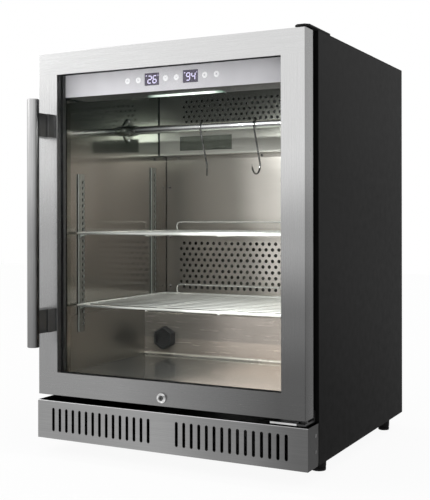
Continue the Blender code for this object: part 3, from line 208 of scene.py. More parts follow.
def brushed_steel(name, stops, direction, start, end, grain=(1, 1, 60), roughness=0.3):
    """Brushed sheet steel whose tone changes slowly along a direction, grain across it."""
    made = Finish(name, (0.6, 0.6, 0.6), roughness, 1.0)
    fine = made.noise(9.0, grain, detail=6, rough=0.7)
    spread = made.sum(made.along(direction, start, end), made.cloud(5.0), 0.12)
    base = made.ramp(spread, stops)
    made.colour(made.times(base, made.streaks(fine, 214.2)))
    made.roughness(made.span(fine, 0.2, 0.8, roughness - 0.08, roughness + 0.1))
    made.bump(fine, 0.00002)
    return made.material


def painted_sheet(name, stops, direction, start, end, roughness=0.42, sheen=0.2):
    """Powder-coated sheet: slow change of tone and a fine orange peel."""
    made = Finish(name, (0.02, 0.02, 0.02), roughness)
    made.fixed("Specular IOR Level", sheen)
    spread = made.sum(made.along(direction, start, end), made.cloud(4.0), 0.08)
    made.colour(made.ramp(spread, stops))
    made.roughness(made.span(made.noise(60.0), 0.3, 0.7, roughness - 0.03, roughness + 0.03))
    made.bump(made.noise(900.0, detail=2), 0.00001, 0.1)
    return made.material


def moulded(name, colour, roughness, peel_scale=700.0, peel_depth=0.00003, change=0.25, sheen=0.5, glow=0.0):
    """Moulded plastic or rubber with a fine grain and slight change of tone."""
    colour = shade(colour)
    made = Finish(name, colour, roughness)
    made.fixed("Specular IOR Level", sheen)
    # An emission strength above 0 is painted light: the part glows though it is no lamp.
    made.fixed("Emission Strength", glow)
    slow = made.noise(35.0, detail=3)
    dark = tuple(c * (1 - change) for c in colour)
    light = tuple(min(1, c * (1 + change)) for c in colour)
    made.colour(made.ramp(slow, [(0.3, dark), (0.7, light)]))
    made.roughness(made.span(made.noise(120.0), 0.3, 0.7, roughness - 0.05, roughness + 0.07))
    made.bump(made.noise(peel_scale, detail=2), peel_depth, 0.7)
    return made.material


def chrome(name, light, dark, roughness=0.08):
    """Bright plating with faint polishing haze."""
    made = Finish(name, shade(light), roughness, 1.0)
    haze = made.noise(60.0, (1, 1, 3), detail=4)
    made.colour(made.ramp(haze, {0.3: dark, 0.65: light}))
    made.roughness(made.span(haze, 0.3, 0.7, roughness, roughness + 0.1))
    made.bump(made.noise(300.0, detail=2), 0.00001)
    return made.material


def rod_finish():
    """Plated rod with painted reflections: bright bands where it turns to the lamp and to the shelf, darker
    between them, and painted shade towards the left wall.
    """
    made = Finish("rod_chrome", (0.6, 0.6, 0.6), 0.08, 0.55)
    around = made.along(up, -1, 1, made.facing)
    # Painted reflections: light and dark bands by how far the surface turns up or down.
    bands = made.ramp(around, {
        0: 90, 0.06: (206, 214, 200), 0.14: (190, 196, 184), 0.24: 112, 0.38: 100, 0.48: 205, 0.62: 212,
        0.7: 90, 0.86: 80, 0.94: (204, 204, 186), 1: (190, 190, 172)})
    haze = made.noise(60.0, (1, 1, 3), detail=4)
    soft = made.ramp(haze, {0.3: 240, 0.65: 255})
    # Painted shade: darker towards the left wall.
    painted_wall_shade = made.ramp(made.along(across, -0.26, -0.1), {0: 128, 0.5: 190, 1: 255})
    made.colour(made.times(made.times(bands, soft), painted_wall_shade))
    made.roughness(made.span(haze, 0.3, 0.7, 0.05, 0.12))
    return made.material


def satin_wire():
    """Bright-drawn wire of the shelves, a little duller where it is handled."""
    made = Finish("wire_chrome", (0.6, 0.6, 0.6), 0.24, 0.7)
    haze = made.noise(6.0, detail=2)
    made.colour(made.ramp(haze, {0.3: (222, 225, 219), 0.7: (236, 239, 233)}))
    made.roughness(made.span(haze, 0.3, 0.7, 0.2, 0.28))
    return made.material


def lining(name, stops, direction, start, end, roughness=0.1, metal=0.8, dull=0.0, polish=0.0, seam=None):
    """Polished stainless lining: soft changes of tone along a direction that are painted reflection and
    shade, and the gentle buckle of a thin sheet.
    """
    made = Finish(name, (0.4, 0.4, 0.4), roughness, metal)
    slow = made.noise(3.2, (1, 1, 2.2), detail=1)
    # Painted reflection and shade: the stops give the tone along the direction.
    spread = made.sum(made.along(direction, start, end), made.cloud(slow), 0.1)
    fine = made.noise(10.0, (1, 1, 30), detail=4, rough=0.6)
    base = made.times(made.ramp(spread, stops), made.streaks(fine, 246, 0.3))
    if seam:
        width, depth = seam
        edge = made.along(across, -interior_half, width - interior_half)
        line = made.ramp(edge, {0: depth, 0.8: depth, 1: 255}, smooth=False)
        base = made.times(base, line)
    made.colour(base)
    even = made.span(fine, 0.25, 0.75, roughness - 0.02, roughness + 0.02)
    low_down = made.along(down, -0.31, -0.26)
    high_up = made.along(up, 0.59, 0.64)
    made.roughness(made.sum(made.sum(even, low_down, dull), high_up, -polish))
    if polish:
        made.drive("Metallic", made.span(high_up, 0, 1, metal, 1.0))
    made.bump(slow, 0.0012)
    return made.material


def door_finish():
    """Satin door steel with painted reflection and shade: pale above, darker below, darkest towards the hinge
    side, and painted shade on the faces that look along +X.
    """
    made = Finish("door_steel", (0.6, 0.6, 0.6), 0.3, 1.0)
    height = made.sum(made.along(up, door_low.z, door_high.z), made.cloud(4.0), 0.08)
    # Painted reflection and shade: the left ramp is pale above and darker below, the right ramp darker still
    # towards the hinge side.
    left = made.ramp(height, {0: 150, 0.15: 152, 0.45: 170, 0.7: 212, 0.95: 230})
    right = made.ramp(height, {0: 92, 0.1: 94, 0.25: 116, 0.45: 168, 0.7: 220, 0.95: 222})
    base = made.blend("MIX", left, right, made.along(across, -0.1, 0.24))
    upright = made.noise(9.0, (60, 60, 1), detail=6, rough=0.7)
    level = made.noise(9.0, (1, 60, 60), detail=6, rough=0.7)
    opening_half, seam = 0.3009, 0.0004
    rail = made.along(up, frame_middle + opening_half, frame_middle + opening_half + seam)
    sill = made.along(down, opening_half - frame_middle, opening_half + seam - frame_middle)
    grain = made.blend("MIX", upright, level, made.sum(rail, sill))
    base = made.times(base, made.streaks(grain, 240))
    # Painted shade: faces that look along +X are darkened to 42 per cent.
    made.colour(made.facing_shade(base, across, 0.42))
    made.roughness(made.span(grain, 0.2, 0.8, 0.2, 0.32))
    made.bump(grain, 0.00001)
    return made.material


def kick_finish():
    """Satin steel of the kick plate, with painted shade towards the hinge side, on its end, on its upward
    faces and on the catch's front under the door.
    """
    made = Finish("kick_steel", (0.5, 0.5, 0.5), 0.34, 1.0)
    spread = made.sum(made.along(across, -0.3, 0.3), made.cloud(5.0), 0.1)
    # Painted shade: darker towards the hinge side on the right.
    base = made.ramp(spread, {0: 160, 0.45: 166, 0.75: 140, 1: 108})
    grain = made.noise(9.0, (1, 60, 60), detail=6, rough=0.7)
    base = made.times(base, made.streaks(grain, 226))
    # Painted shade: front faces deep under the door, on the catch, darkened nearly to black.
    painted_catch_shade = made.ramp(made.along(inward, -0.226, -0.2235), {0: 255, 1: 36})
    base = made.blend("MULTIPLY", base, painted_catch_shade, made.looks(outward))
    # Painted shade: the plate's end faces and upward faces darkened nearly to black.
    made.colour(made.facing_shade(made.facing_shade(base, across, 0.05), up, 0.04))
    ledge = made.looks(up)
    folded = made.sum(ledge, made.looks(across), 0.9)
    made.drive("Metallic", made.span(folded, 0, 1, 1, 0))
    made.drive("Specular IOR Level", made.span(ledge, 0, 1, 0.1, 0))
    made.roughness(made.span(grain, 0.2, 0.8, 0.28, 0.42))
    made.bump(grain, 0.00001)
    return made.material


def handle_finish():
    """Satin bar with painted highlight and shade: darker low down, bright on its left, dark where it turns to
    the door's hinge side.
    """
    made = Finish("handle_steel", (0.5, 0.5, 0.5), 0.32, 1.0)
    height = made.along(up, tube_low.z, tube_high.z)
    # Painted shade: darker towards the bar's foot.
    base = made.ramp(height, {0: 138, 0.4: 162, 0.75: 210, 1: 222})
    # Painted highlight and shade by the way the surface faces: bright to the left, dark towards the hinge
    # side.
    painted_round_light = made.ramp(made.along((0.888, 0.46, 0), -1, 1, made.facing),
                            {0: 228, 0.2: 255, 0.5: 250, 0.66: 222, 0.8: 170, 0.92: 124, 1: 96})
    grain = made.noise(9.0, (40, 40, 1.5), detail=6, rough=0.7)
    made.colour(made.times(made.times(base, painted_round_light), made.streaks(grain, 222)))
    made.roughness(made.span(grain, 0.2, 0.8, 0.26, 0.4))
    made.bump(grain, 0.00001)
    return made.material


def frame_paint():
    """Black paint of the cabinet's front frame; its inner edges are faced with the lining's steel."""
    made = Finish("frame_paint", shade(14), 0.4)
    made.fixed("Specular IOR Level", 0.1)
    offset = made.add("VectorMath", {0: made.place, 1: (0, 0, frame_middle)}, operation="SUBTRACT")
    inner = made.span(made.dot(offset, made.facing), -0.15, -0.2, 0, 1)
    cloud = made.noise(8.0, detail=3)
    paint = made.ramp(cloud, {0.3: 11, 0.7: 17})
    steel = made.ramp(cloud, {0.3: (124, 122, 114), 0.7: (134, 131, 123)})
    made.colour(made.blend("MIX", paint, steel, inner))
    made.drive("Metallic", inner)
    made.roughness(made.span(inner, 0, 1, 0.4, 0.14))
    return made.material


door_steel = door_finish()
kick_steel = kick_finish()
handle_steel = handle_finish()
hinge_steel = brushed_steel("hinge_steel", {0: 215, 1: 235}, across, 0.22, 0.3)
# Painted shade: the black sheets are darker low down and lighter high up.
black_sheet = painted_sheet("black_sheet", {0: 12, 0.5: 33, 1: 43}, (0, 0.25, 1), 0.0, 0.85, sheen=0.01)
black_moulding = moulded("black_moulding", 42, 0.42)
bracket_black = moulded("bracket_black", 46, 0.34, 500.0)
rubber_black = moulded("rubber_black", 9, 0.75, 400.0, 0.00006, sheen=0.15)
seal_black = moulded("seal_black", 12, 0.7, 300.0, 0.00005)
filter_black = moulded("filter_black", 36, 0.8, 500.0)
fascia_silver = moulded("fascia_silver", (216, 215, 219), 0.34, 900.0, 0.00001, 0.03)
# The buttons' faint glow is painted light: they are no lamps.
button_silver = moulded("button_silver", (250, 250, 253), 0.3, 900.0, 0.00001, 0.03, glow=0.12)
plated = chrome("plated", 225, 150)
rod_chrome = rod_finish()
flange_chrome = chrome("flange_chrome", (120, 124, 118), (80, 84, 78), 0.12)
wire_chrome = satin_wire()
hook_chrome = chrome("hook_chrome", 150, 84, 0.16)
fin_aluminium = brushed_steel("fin_aluminium", {0: 150, 1: 190}, up, 0.0, 0.8)
compressor_paint = painted_sheet("compressor_paint", {0: 20, 1: 34}, up, 0.0, 0.3)

# Painted reflection: lighter going up, a greenish band high on the left wall, darker at its very top.
left_lining = lining(
    "left_lining", {0: (138, 135, 128), 0.45: (145, 139, 132), 0.72: (153, 148, 141),
                    0.84: (150, 156, 148), 1: (128, 132, 125)},
    (0, 0.1, 1), 0.15, 0.78, roughness=0.13, metal=0.92, dull=0.2, polish=0.035)
# Painted reflection: slightly lighter at mid height.
right_lining = lining(
    "right_lining", {0: (176, 170, 160), 0.5: (186, 181, 172), 1: (170, 170, 163)}, up, 0.15, 0.78)
# Painted reflection and shade: dark on the left, bright on the right.
wall_lining = lining(
    "wall_lining", {0: (130, 127, 120), 0.4: (174, 170, 162), 0.56: (224, 219, 211), 0.8: (252, 248, 240)},
    (1, 0, 0.15), -0.2, 0.3, roughness=0.3, metal=0.8, seam=(0.0022, 90))
# Painted shade: light at the cover's foot, dark towards its top.
cover_lining = lining(
    "cover_lining", {0: (206, 206, 198), 0.2: (172, 172, 164), 0.36: (100, 101, 95), 0.7: (84, 85, 80),
                     1: (64, 65, 61)},
    (0.15, 0, 1), 0.63, 0.79, roughness=0.3, metal=0.66, seam=(0.0032, 36))


def floor_finish():
    """Stainless floor and step with painted reflection and shade: dark on the left, warm and bright on the
    right, a painted highlight line along the step's foot and painted shade on its top.
    """
    made = Finish("floor_lining", (0.4, 0.4, 0.4), 0.24, 0.7)
    cloud = made.cloud(made.noise(3.2))
    # Painted reflection and shade: dark on the left, warm and bright on the right.
    low = made.ramp(made.sum(made.along((1, -0.25, 0), -0.24, 0.2), cloud, 0.2), {
        0: (136, 136, 131), 0.4: (158, 158, 153), 0.75: (214, 205, 194), 1: (220, 210, 198)})
    high = made.ramp(made.sum(made.along((1, 0, -0.35), -0.26, 0.16), cloud, 0.2), {
        0: (170, 164, 154), 0.4: (208, 196, 184), 0.8: (216, 203, 190), 1: (236, 222, 207)})
    # Painted shade: the step's top a little darker.
    upper = made.ramp(made.along(up, 0.196, 0.2), {0: 255, 1: (221, 224, 227)})
    high = made.times(high, upper)
    # Painted highlight: a warm bright line along the step's foot.
    foot = made.ramp(made.along(up, interior_floor + 0.002, interior_floor + 0.012), {
        0: 0, 0.2: 255, 0.45: 255, 0.65: 0}, smooth=False)
    high = made.blend("MIX", high, shade((255, 252, 238)), foot)
    share = made.along(up, interior_floor + 0.002, interior_floor + 0.004)
    fine = made.noise(10.0, (1, 30, 30), detail=5, rough=0.65)
    made.colour(made.times(made.blend("MIX", low, high, share), made.streaks(fine, 236, 0.3)))
    made.roughness(made.sum(made.span(fine, 0.25, 0.75, 0.1, 0.16), share, 0.13))
    made.bump(cloud, 0.0006, 0.4)
    return made.material


floor_lining = floor_finish()
# Painted reflection: a little lighter towards the right.
roof_lining = lining("roof_lining", {0: (150, 152, 145), 1: (164, 166, 158)}, across, -0.26, 0.26)


def glass_finish():
    """Clear float glass: nearly all seen through, with a faint cool body tone and a soft sheen."""
    made = Finish("pane_glass", (0.02, 0.03, 0.028), 0.03)
    made.fixed("Alpha", 0.025)
    made.fixed("Specular IOR Level", 0.6)
    dust = made.noise(14.0, detail=4)
    made.colour(made.ramp(dust, [(0.3, (0.015, 0.022, 0.02)), (0.7, (0.03, 0.04, 0.037))]))
    made.roughness(made.span(dust, 0.3, 0.7, 0.02, 0.06))
    return made.material


def glowing(name, colour, strength):
    """Something that gives light of its own, slightly uneven."""
    colour = shade(colour)
    made = Finish(name, colour, 0.4)
    haze = made.noise(80.0, detail=2)
    made.colour(made.ramp(haze, [(0.3, tuple(c * 0.9 for c in colour)), (0.7, colour)]))
    made.fixed("Emission Color", (*colour, 1))
    made.fixed("Emission Strength", strength)
    return made.material


def lamp_finish():
    """Frosted lamp lens that glows over its middle and fades towards both ends."""
    made = Finish("lamp_glow", shade((200, 214, 204)), 0.4)
    place = made.sum(made.along(across, -0.085, 0.085), made.noise(40.0, detail=2), 0.02)
    glow = made.ramp(place, {0: (60, 76, 68), 0.16: (196, 210, 200), 0.4: (226, 238, 228),
                             0.8: (230, 240, 230), 1: (90, 108, 98)})
    made.colour(glow)
    made.drive("Emission Color", glow)
    made.fixed("Emission Strength", 0.95)
    return made.material


pane_glass = glass_finish()
lamp_glow = lamp_finish()
digit_glow = glowing("digit_glow", (206, 200, 228), 0.8)
display_tint = moulded("display_tint", (96, 90, 106), 0.2, 900.0, 0.000005, 0.12)
mark_grey = moulded("mark_grey", (150, 148, 160), 0.4, 900.0, 0.000005, 0.05)


def dress(material, *names):
    """Give CAD nodes a finish."""
    for name in names:
        mesh = node_of[name].data
        mesh.materials.clear()
        mesh.materials.append(material)


dress(door_steel, "door_frame")
dress(black_moulding, "door_inner_frame", "glass_spacer", "control_box")
dress(pane_glass, "glass_outer", "glass_inner")
dress(seal_black, "door_gasket")
dress(bracket_black, "handle_bracket_upper", "handle_bracket_lower")
dress(black_sheet, "side_panel_left", "side_panel_right", "top_panel", "hinge_top", "inlet_plate")
dress(frame_paint(), "front_frame")
dress(hinge_steel, "hinge_bottom")
dress(left_lining, "liner_left")
dress(right_lining, "liner_right")
dress(roof_lining, "liner_roof_and_back")
dress(plated, "lock_ring")
dress(chrome("lock_grey", 112, 60, 0.3), "lock_plug")
dress(fin_aluminium, "evaporator")
dress(painted_sheet("condenser_black", {0: 14, 1: 24}, up, 0.0, 0.3), "condenser")
dress(compressor_paint, "compressor")
dress(moulded("fan_plastic", 28, 0.4), "evaporator_fan", "condenser_fan")
dress(moulded("foam", (226, 206, 150), 0.85, 120.0, 0.0005), "insulation")
dress(moulded("inlet_plastic", 24, 0.4), "power_inlet")
dress(chrome("dull_zinc", (50, 52, 48), (32, 34, 31), 0.6), "base_pan")
dress(display_tint, "display_board")
dress(lamp_glow, "lamp_lens")
dress(filter_black, "filter_cap")


# ---- shapes in mesh code
def linked(name, data):
    """A new object in the scene, at the origin."""
    made = bpy.data.objects.new(name, data)
    scene.collection.objects.link(made)
    return made


def plain_mesh(holder):
    """What an object shows, as a plain mesh; the object and its modifiers go."""
    bpy.context.view_layer.update()
    mesh = bpy.data.meshes.new_from_object(
        holder.evaluated_get(bpy.context.evaluated_depsgraph_get()))
    holder.modifiers.clear()
    bpy.data.objects.remove(holder)
    return mesh


def piece_from(name, builder, material, body, nodes=(), smooth=None):
    """A finished piece at the origin that rides on a body and may stand for CAD nodes."""
    bmesh.ops.remove_doubles(builder, verts=builder.verts, dist=1e-6)
    bmesh.ops.recalc_face_normals(builder, faces=builder.faces)
    mesh = bpy.data.meshes.new(name)
    builder.to_mesh(mesh)
    builder.free()
    return place_mesh(name, mesh, material, body, nodes, smooth)


def place_mesh(name, mesh, material, body, nodes=(), smooth=None):
    """A finished mesh as a piece; smooth is the angle in degrees that an edge stays soft below."""
    if smooth is not None:
        mesh.shade_smooth()
        mesh.set_sharp_from_angle(angle=math.radians(smooth))
    if material is not None:
        mesh.materials.clear()
        mesh.materials.append(material)
    made = linked(name, mesh)
    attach(made, body)
    if nodes:
        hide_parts(*nodes)
    return made


def turned(builder, profile, centre, axis, sides=48):
    """Lathe a profile of (radius, distance) along an axis from a centre point."""
    turn = Vector(axis).to_track_quat("Z", "Y").to_matrix().to_4x4()
    place = Matrix.Translation(Vector(centre)) @ turn
    rows = []
    for radius, height in profile:
        if radius <= 0:
            rows.append([builder.verts.new(place @ Vector((0, 0, height)))])
            continue
        rows.append([builder.verts.new(place @ Vector((radius * math.cos(a), radius * math.sin(a), height)))
                     for a in (math.tau * k / sides for k in range(sides))])
    for first, second in zip(rows, rows[1:]):
        for k in range(sides):
            n = (k + 1) % sides
            corners = [first[k % len(first)], first[n % len(first)],
                       second[n % len(second)], second[k % len(second)]]
            kept = [v for i, v in enumerate(corners) if v not in corners[:i]]
            if len(kept) > 2:
                builder.faces.new(kept)


def walls(builder, rows):
    """Faces between neighbouring rows of corners, each row a closed loop."""
    for first, second in zip(rows, rows[1:]):
        for k in range(len(first)):
            n = (k + 1) % len(first)
            builder.faces.new((first[k], first[n], second[n], second[k]))


def block(builder, low, high, bevel=0.0):
    """A box between two corners with rounded edges."""
    made = bmesh.ops.create_cube(builder, size=1.0)
    size = Vector(high) - Vector(low)
    middle = (Vector(high) + Vector(low)) / 2
    for corner in made["verts"]:
        corner.co = Vector(corner.co[i] * size[i] for i in range(3)) + middle
    if bevel:
        edges = list({e for v in made["verts"] for e in v.link_edges})
        bmesh.ops.bevel(builder, geom=edges, offset=bevel, segments=2, affect="EDGES", profile=0.5)


# ---- shapes by Geometry Nodes
class Grower:
    """A Geometry Nodes tree with named inputs, and the meshes it grows."""

    def __init__(self, name, floats, ints="", vectors=""):
        """Each list names inputs of one kind, with commas between them."""
        self.tree = bpy.data.node_groups.new(name, "GeometryNodeTree")
        face = self.tree.interface
        face.new_socket("Geometry", in_out="INPUT", socket_type="NodeSocketGeometry")
        self.keys = {}
        for kind, labels in (("Float", floats), ("Int", ints), ("Vector", vectors),
                             ("Material", "Material")):
            for label in filter(None, labels.split(", ")):
                socket = face.new_socket(label, in_out="INPUT", socket_type="NodeSocket" + kind)
                self.keys[label] = socket.identifier
        face.new_socket("Geometry", in_out="OUTPUT", socket_type="NodeSocketGeometry")
        self.entry = self.tree.nodes.new("NodeGroupInput")
        self.exit = self.tree.nodes.new("NodeGroupOutput")

    def given(self, label):
        return self.entry.outputs[label]

    def add(self, kind, inputs=None, **settings):
        return add_node(self.tree, kind, inputs, **settings)

    def math(self, operation, *values):
        return self.add("ShaderNodeMath", dict(enumerate(values)), operation=operation)

    def spot(self, **axes):
        return self.add("ShaderNodeCombineXYZ", axes)

    def moved(self, geometry, place, turn=(0, 0, 0)):
        return self.add("GeometryNodeTransform", {"Geometry": geometry, "Translation": place,
                                                  "Rotation": turn})

    def joined(self, parts):
        return self.add("GeometryNodeJoinGeometry", {"Geometry": parts})

    def rectangle(self, width, height):
        return self.add("GeometryNodeCurvePrimitiveQuadrilateral", {"Width": width, "Height": height})

    def rounded(self, curve, radius, steps):
        return self.add("GeometryNodeFilletCurve", {"Curve": curve, "Radius": radius, "Count": steps,
                                                    "Limit Radius": True}, mode="POLY")

    def realized(self, geometry):
        return self.add("GeometryNodeRealizeInstances", {"Geometry": geometry})

    def close(self, geometry):
        painted = self.add("GeometryNodeSetMaterial", {"Geometry": self.realized(geometry),
                                                       "Material": self.given("Material")})
        self.tree.links.new(painted, self.exit.inputs[0])

    def grow(self, name, body, values, seed=None, slot=None, nodes=(), smooth=None, cleanup=None):
        """Evaluate the tree with these values and keep the result as a plain piece."""
        holder = linked(name + "_holder", seed or bpy.data.meshes.new(name + "_seed"))
        step = holder.modifiers.new("grow", "NODES")
        step.node_group = self.tree
        for label, value in values.items():
            step[self.keys[label]] = value
        grown = plain_mesh(holder)
        if cleanup:
            cleanup(grown)
        grown.materials.clear()
        grown.materials.append(values["Material"])
        grown.polygons.foreach_set("material_index", [0] * len(grown.polygons))
        return place_mesh(name, grown, None, body, nodes, smooth)


def punched_sheet_tree():
    """A flat sheet with rows of rounded holes and one window, facing -Y."""
    made = Grower("punched_sheet", "Low X, High X, Low Z, High Z, Front Y, Thickness, Pitch, Row pitch, "
                  "Hole width, Hole height, Corner, Stagger, First X, First Z, Middle gap, "
                  "Window width, Window height, Window X, Window Z", "Columns, Rows, Corner steps")
    given, calc, add, spot = made.given, made.math, made.add, made.spot
    columns, pitch = given("Columns"), given("Pitch")
    points = add("GeometryNodePoints", {"Count": calc("MULTIPLY", columns, given("Rows"))})
    index = add("GeometryNodeInputIndex")
    row = calc("FLOOR", calc("DIVIDE", calc("ADD", index, 0.5), columns))
    column = calc("SUBTRACT", index, calc("MULTIPLY", row, columns))
    even = calc("SUBTRACT", 1.0, calc("MODULO", row, 2.0))
    moved = calc("MULTIPLY", calc("MULTIPLY", even, given("Stagger")), calc("MULTIPLY", pitch, 0.5))
    far_half = calc("GREATER_THAN", column, calc("SUBTRACT", calc("MULTIPLY", columns, 0.5), 0.5))
    x = calc("ADD", calc("MULTIPLY_ADD", column, pitch, given("First X")), moved)
    x = calc("MULTIPLY_ADD", far_half, given("Middle gap"), x)
    z = calc("SUBTRACT", given("First Z"), calc("MULTIPLY", row, given("Row pitch")))
    set_points = add("GeometryNodeSetPosition", {"Geometry": points, "Position": spot(X=x, Y=z)})
    last = calc("GREATER_THAN", column, calc("SUBTRACT", columns, 1.5))
    spare = calc("MULTIPLY", calc("MULTIPLY", last, even), given("Stagger"))
    kept = add("GeometryNodeDeleteGeometry", {"Geometry": set_points,
                                              "Selection": calc("GREATER_THAN", spare, 0.5)})
    hole = made.rounded(made.rectangle(given("Hole width"), given("Hole height")), given("Corner"),
                        given("Corner steps"))
    holes = made.realized(add("GeometryNodeInstanceOnPoints", {"Points": kept, "Instance": hole}))

    def middle(axis):
        return calc("MULTIPLY", calc("ADD", given("High " + axis), given("Low " + axis)), 0.5)

    edge = made.moved(made.rectangle(calc("SUBTRACT", given("High X"), given("Low X")),
                                     calc("SUBTRACT", given("High Z"), given("Low Z"))),
                      spot(X=middle("X"), Y=middle("Z")))
    window = made.moved(made.rectangle(given("Window width"), given("Window height")),
                        spot(X=given("Window X"), Y=given("Window Z")))
    flat = add("GeometryNodeFillCurve", {"Curve": made.joined([edge, holes, window])}, mode="TRIANGLES")
    thick = add("GeometryNodeExtrudeMesh", {"Mesh": flat, "Offset Scale": given("Thickness"),
                                            "Individual": False}, mode="FACES")
    back = add("GeometryNodeFlipFaces", {"Mesh": flat})
    welded = add("GeometryNodeMergeByDistance", {"Geometry": made.joined([thick, back]),
                                                 "Distance": 1e-6})
    made.close(made.moved(welded, spot(Y=calc("ADD", given("Front Y"), given("Thickness"))),
                          (math.pi / 2, 0, 0)))
    return made


def no_window(low_x, low_z):
    """A window far too small to matter, inside the sheet's first corner."""
    return {"Window width": 1e-5, "Window height": 1e-5, "Window X": low_x + 0.002,
            "Window Z": low_z + 0.002}


punched_sheet = punched_sheet_tree()

sheet_gauge = wall_high.y - wall_low.y
wall_hole, wall_pitch = 0.0086, 0.0163
punched_sheet.grow("air_wall_sheet", "cabinet", {
    "Low X": wall_low.x, "High X": wall_high.x, "Low Z": wall_low.z, "High Z": wall_high.z,
    "Front Y": wall_low.y, "Thickness": sheet_gauge, "Columns": 28, "Rows": 9, "Pitch": wall_pitch,
    "Row pitch": 0.0134, "Hole width": wall_hole, "Hole height": wall_hole, "Corner": wall_hole / 2,
    "Corner steps": 5, "Stagger": 1.0, "First X": -wall_pitch * 13.5, "First Z": wall_low.z + 0.1587,
    "Middle gap": 0.0, "Material": wall_lining, **no_window(wall_low.x, wall_low.z)},
    slot="liner_steel", nodes=("air_wall",))
cover_hole, cover_pitch = 0.0070, 0.014
outlet_low = cover_low.z + 0.010
outlet_width, outlet_height, outlet_middle = 0.14, 0.034, -0.1336
punched_sheet.grow("cover_sheet", "cabinet", {
    "Low X": cover_low.x, "High X": cover_high.x, "Low Z": cover_low.z, "High Z": cover_high.z,
    "Front Y": cover_low.y, "Thickness": sheet_gauge, "Columns": 28, "Rows": 5, "Pitch": cover_pitch,
    "Row pitch": 0.0118, "Hole width": cover_hole, "Hole height": cover_hole, "Corner": cover_hole / 2,
    "Corner steps": 5, "Stagger": 1.0, "First X": -cover_pitch * 13.75, "First Z": cover_high.z - 0.0232,
    "Middle gap": 0.0, "Window width": outlet_width, "Window height": outlet_height,
    "Window X": outlet_middle, "Window Z": outlet_low + outlet_height / 2, "Material": cover_lining},
    slot="liner_steel")
outlet_grey = moulded("outlet_grey", (78, 82, 74), 0.6, 300.0)
screen = bmesh.new()
block(screen, (-0.208, cover_low.y + 0.0045, outlet_low - 0.004),
      (-0.0595, cover_low.y + 0.0055, outlet_low + 0.038))
piece_from("outlet_screen", screen, outlet_grey, "cabinet")
fold = bmesh.new()
block(fold, (cover_low.x, cover_low.y + sheet_gauge, cover_low.z),
      (cover_high.x, cover_high.y, cover_low.z + sheet_gauge))
piece_from("cover_fold", fold, cover_lining, "cabinet", ("evaporator_cover",))


# ---- small shapes in mesh code
def flat_plate(builder, outline, holes, front, back):
    """A plate in the XZ plane with holes, between two Y levels."""
    loops = []
    for loop in [outline, *holes]:
        corners = [builder.verts.new((x, front, z)) for x, z in loop]
        loops.append([builder.edges.new((a, b)) for a, b in zip(corners, corners[1:] + corners[:1])])
    edges = [edge for loop in loops for edge in loop]
    filled = bmesh.ops.triangle_fill(builder, use_beauty=True, use_dissolve=False, edges=edges)
    faces = [item for item in filled["geom"] if isinstance(item, bmesh.types.BMFace)]
    raised = {}
    for face in faces:
        for corner in face.verts:
            if corner not in raised:
                raised[corner] = builder.verts.new((corner.co.x, back, corner.co.z))
    for face in faces:
        builder.faces.new([raised[corner] for corner in reversed(face.verts)])
    for edge in edges:
        a, b = edge.verts
        builder.faces.new((a, b, raised[b], raised[a]))


def ring_points(centre, radius, sides, start=0):
    """The corners of a regular polygon."""
    return arc(centre, radius, start, start + 360, sides)[:-1]


def rounded(low, high, radius, steps=5):
    """Outline of a rectangle with round corners, as (x, z) pairs."""
    left, right = low[0] + radius, high[0] - radius
    bottom, top = low[1] + radius, high[1] - radius
    return [point for centre, start in (((right, top), 0), ((left, top), 90), ((left, bottom), 180),
                                        ((right, bottom), 270))
            for point in arc(centre, radius, start, start + 90, steps)]


def extrusion(builder, outline, axis, start, end):
    """A solid with a flat outline along X, Y or Z."""
    def spot(a, b, level):
        return {"X": (level, a, b), "Y": (a, level, b), "Z": (a, b, level)}[axis]
    first = [builder.verts.new(spot(a, b, start)) for a, b in outline]
    second = [builder.verts.new(spot(a, b, end)) for a, b in outline]
    walls(builder, [first, second])
    builder.faces.new(first)
    builder.faces.new(list(reversed(second)))


def swept_frame(builder, profile, half_x, half_z, centre_z):
    """Sweep (outward offset, y) points round a rectangle in the XZ plane, with mitred corners."""
    rows = [[builder.verts.new((side_x * (half_x + offset), y, centre_z + side_z * (half_z + offset)))
             for offset, y in profile] for side_x, side_z in ((1, 1), (-1, 1), (-1, -1), (1, -1))]
    walls(builder, rows + rows[:1])


def pointed_wire(name, points, radius, tip, material, body, nodes):
    """A bent wire of round section whose last end tapers to a point over the tip's length."""
    path = bpy.data.curves.new(name + "_path", "CURVE")
    path.dimensions = "3D"
    path.bevel_depth = radius
    path.bevel_resolution = 4
    path.use_fill_caps = True
    run = path.splines.new("POLY")
    run.points.add(len(points) - 1)
    for place, point in zip(run.points, points):
        place.co = (*point, 1)
        place.radius = 1.0
    left = tip
    previous = Vector(points[-1])
    for k in range(len(points) - 1, -1, -1):
        here = Vector(points[k])
        left -= (here - previous).length
        previous = here
        if left <= 0:
            break
        run.points[k].radius = max(0.12, 1.0 - left / tip)
    mesh = plain_mesh(linked(name + "_holder", path))
    return place_mesh(name, mesh, material, body, nodes, 40)


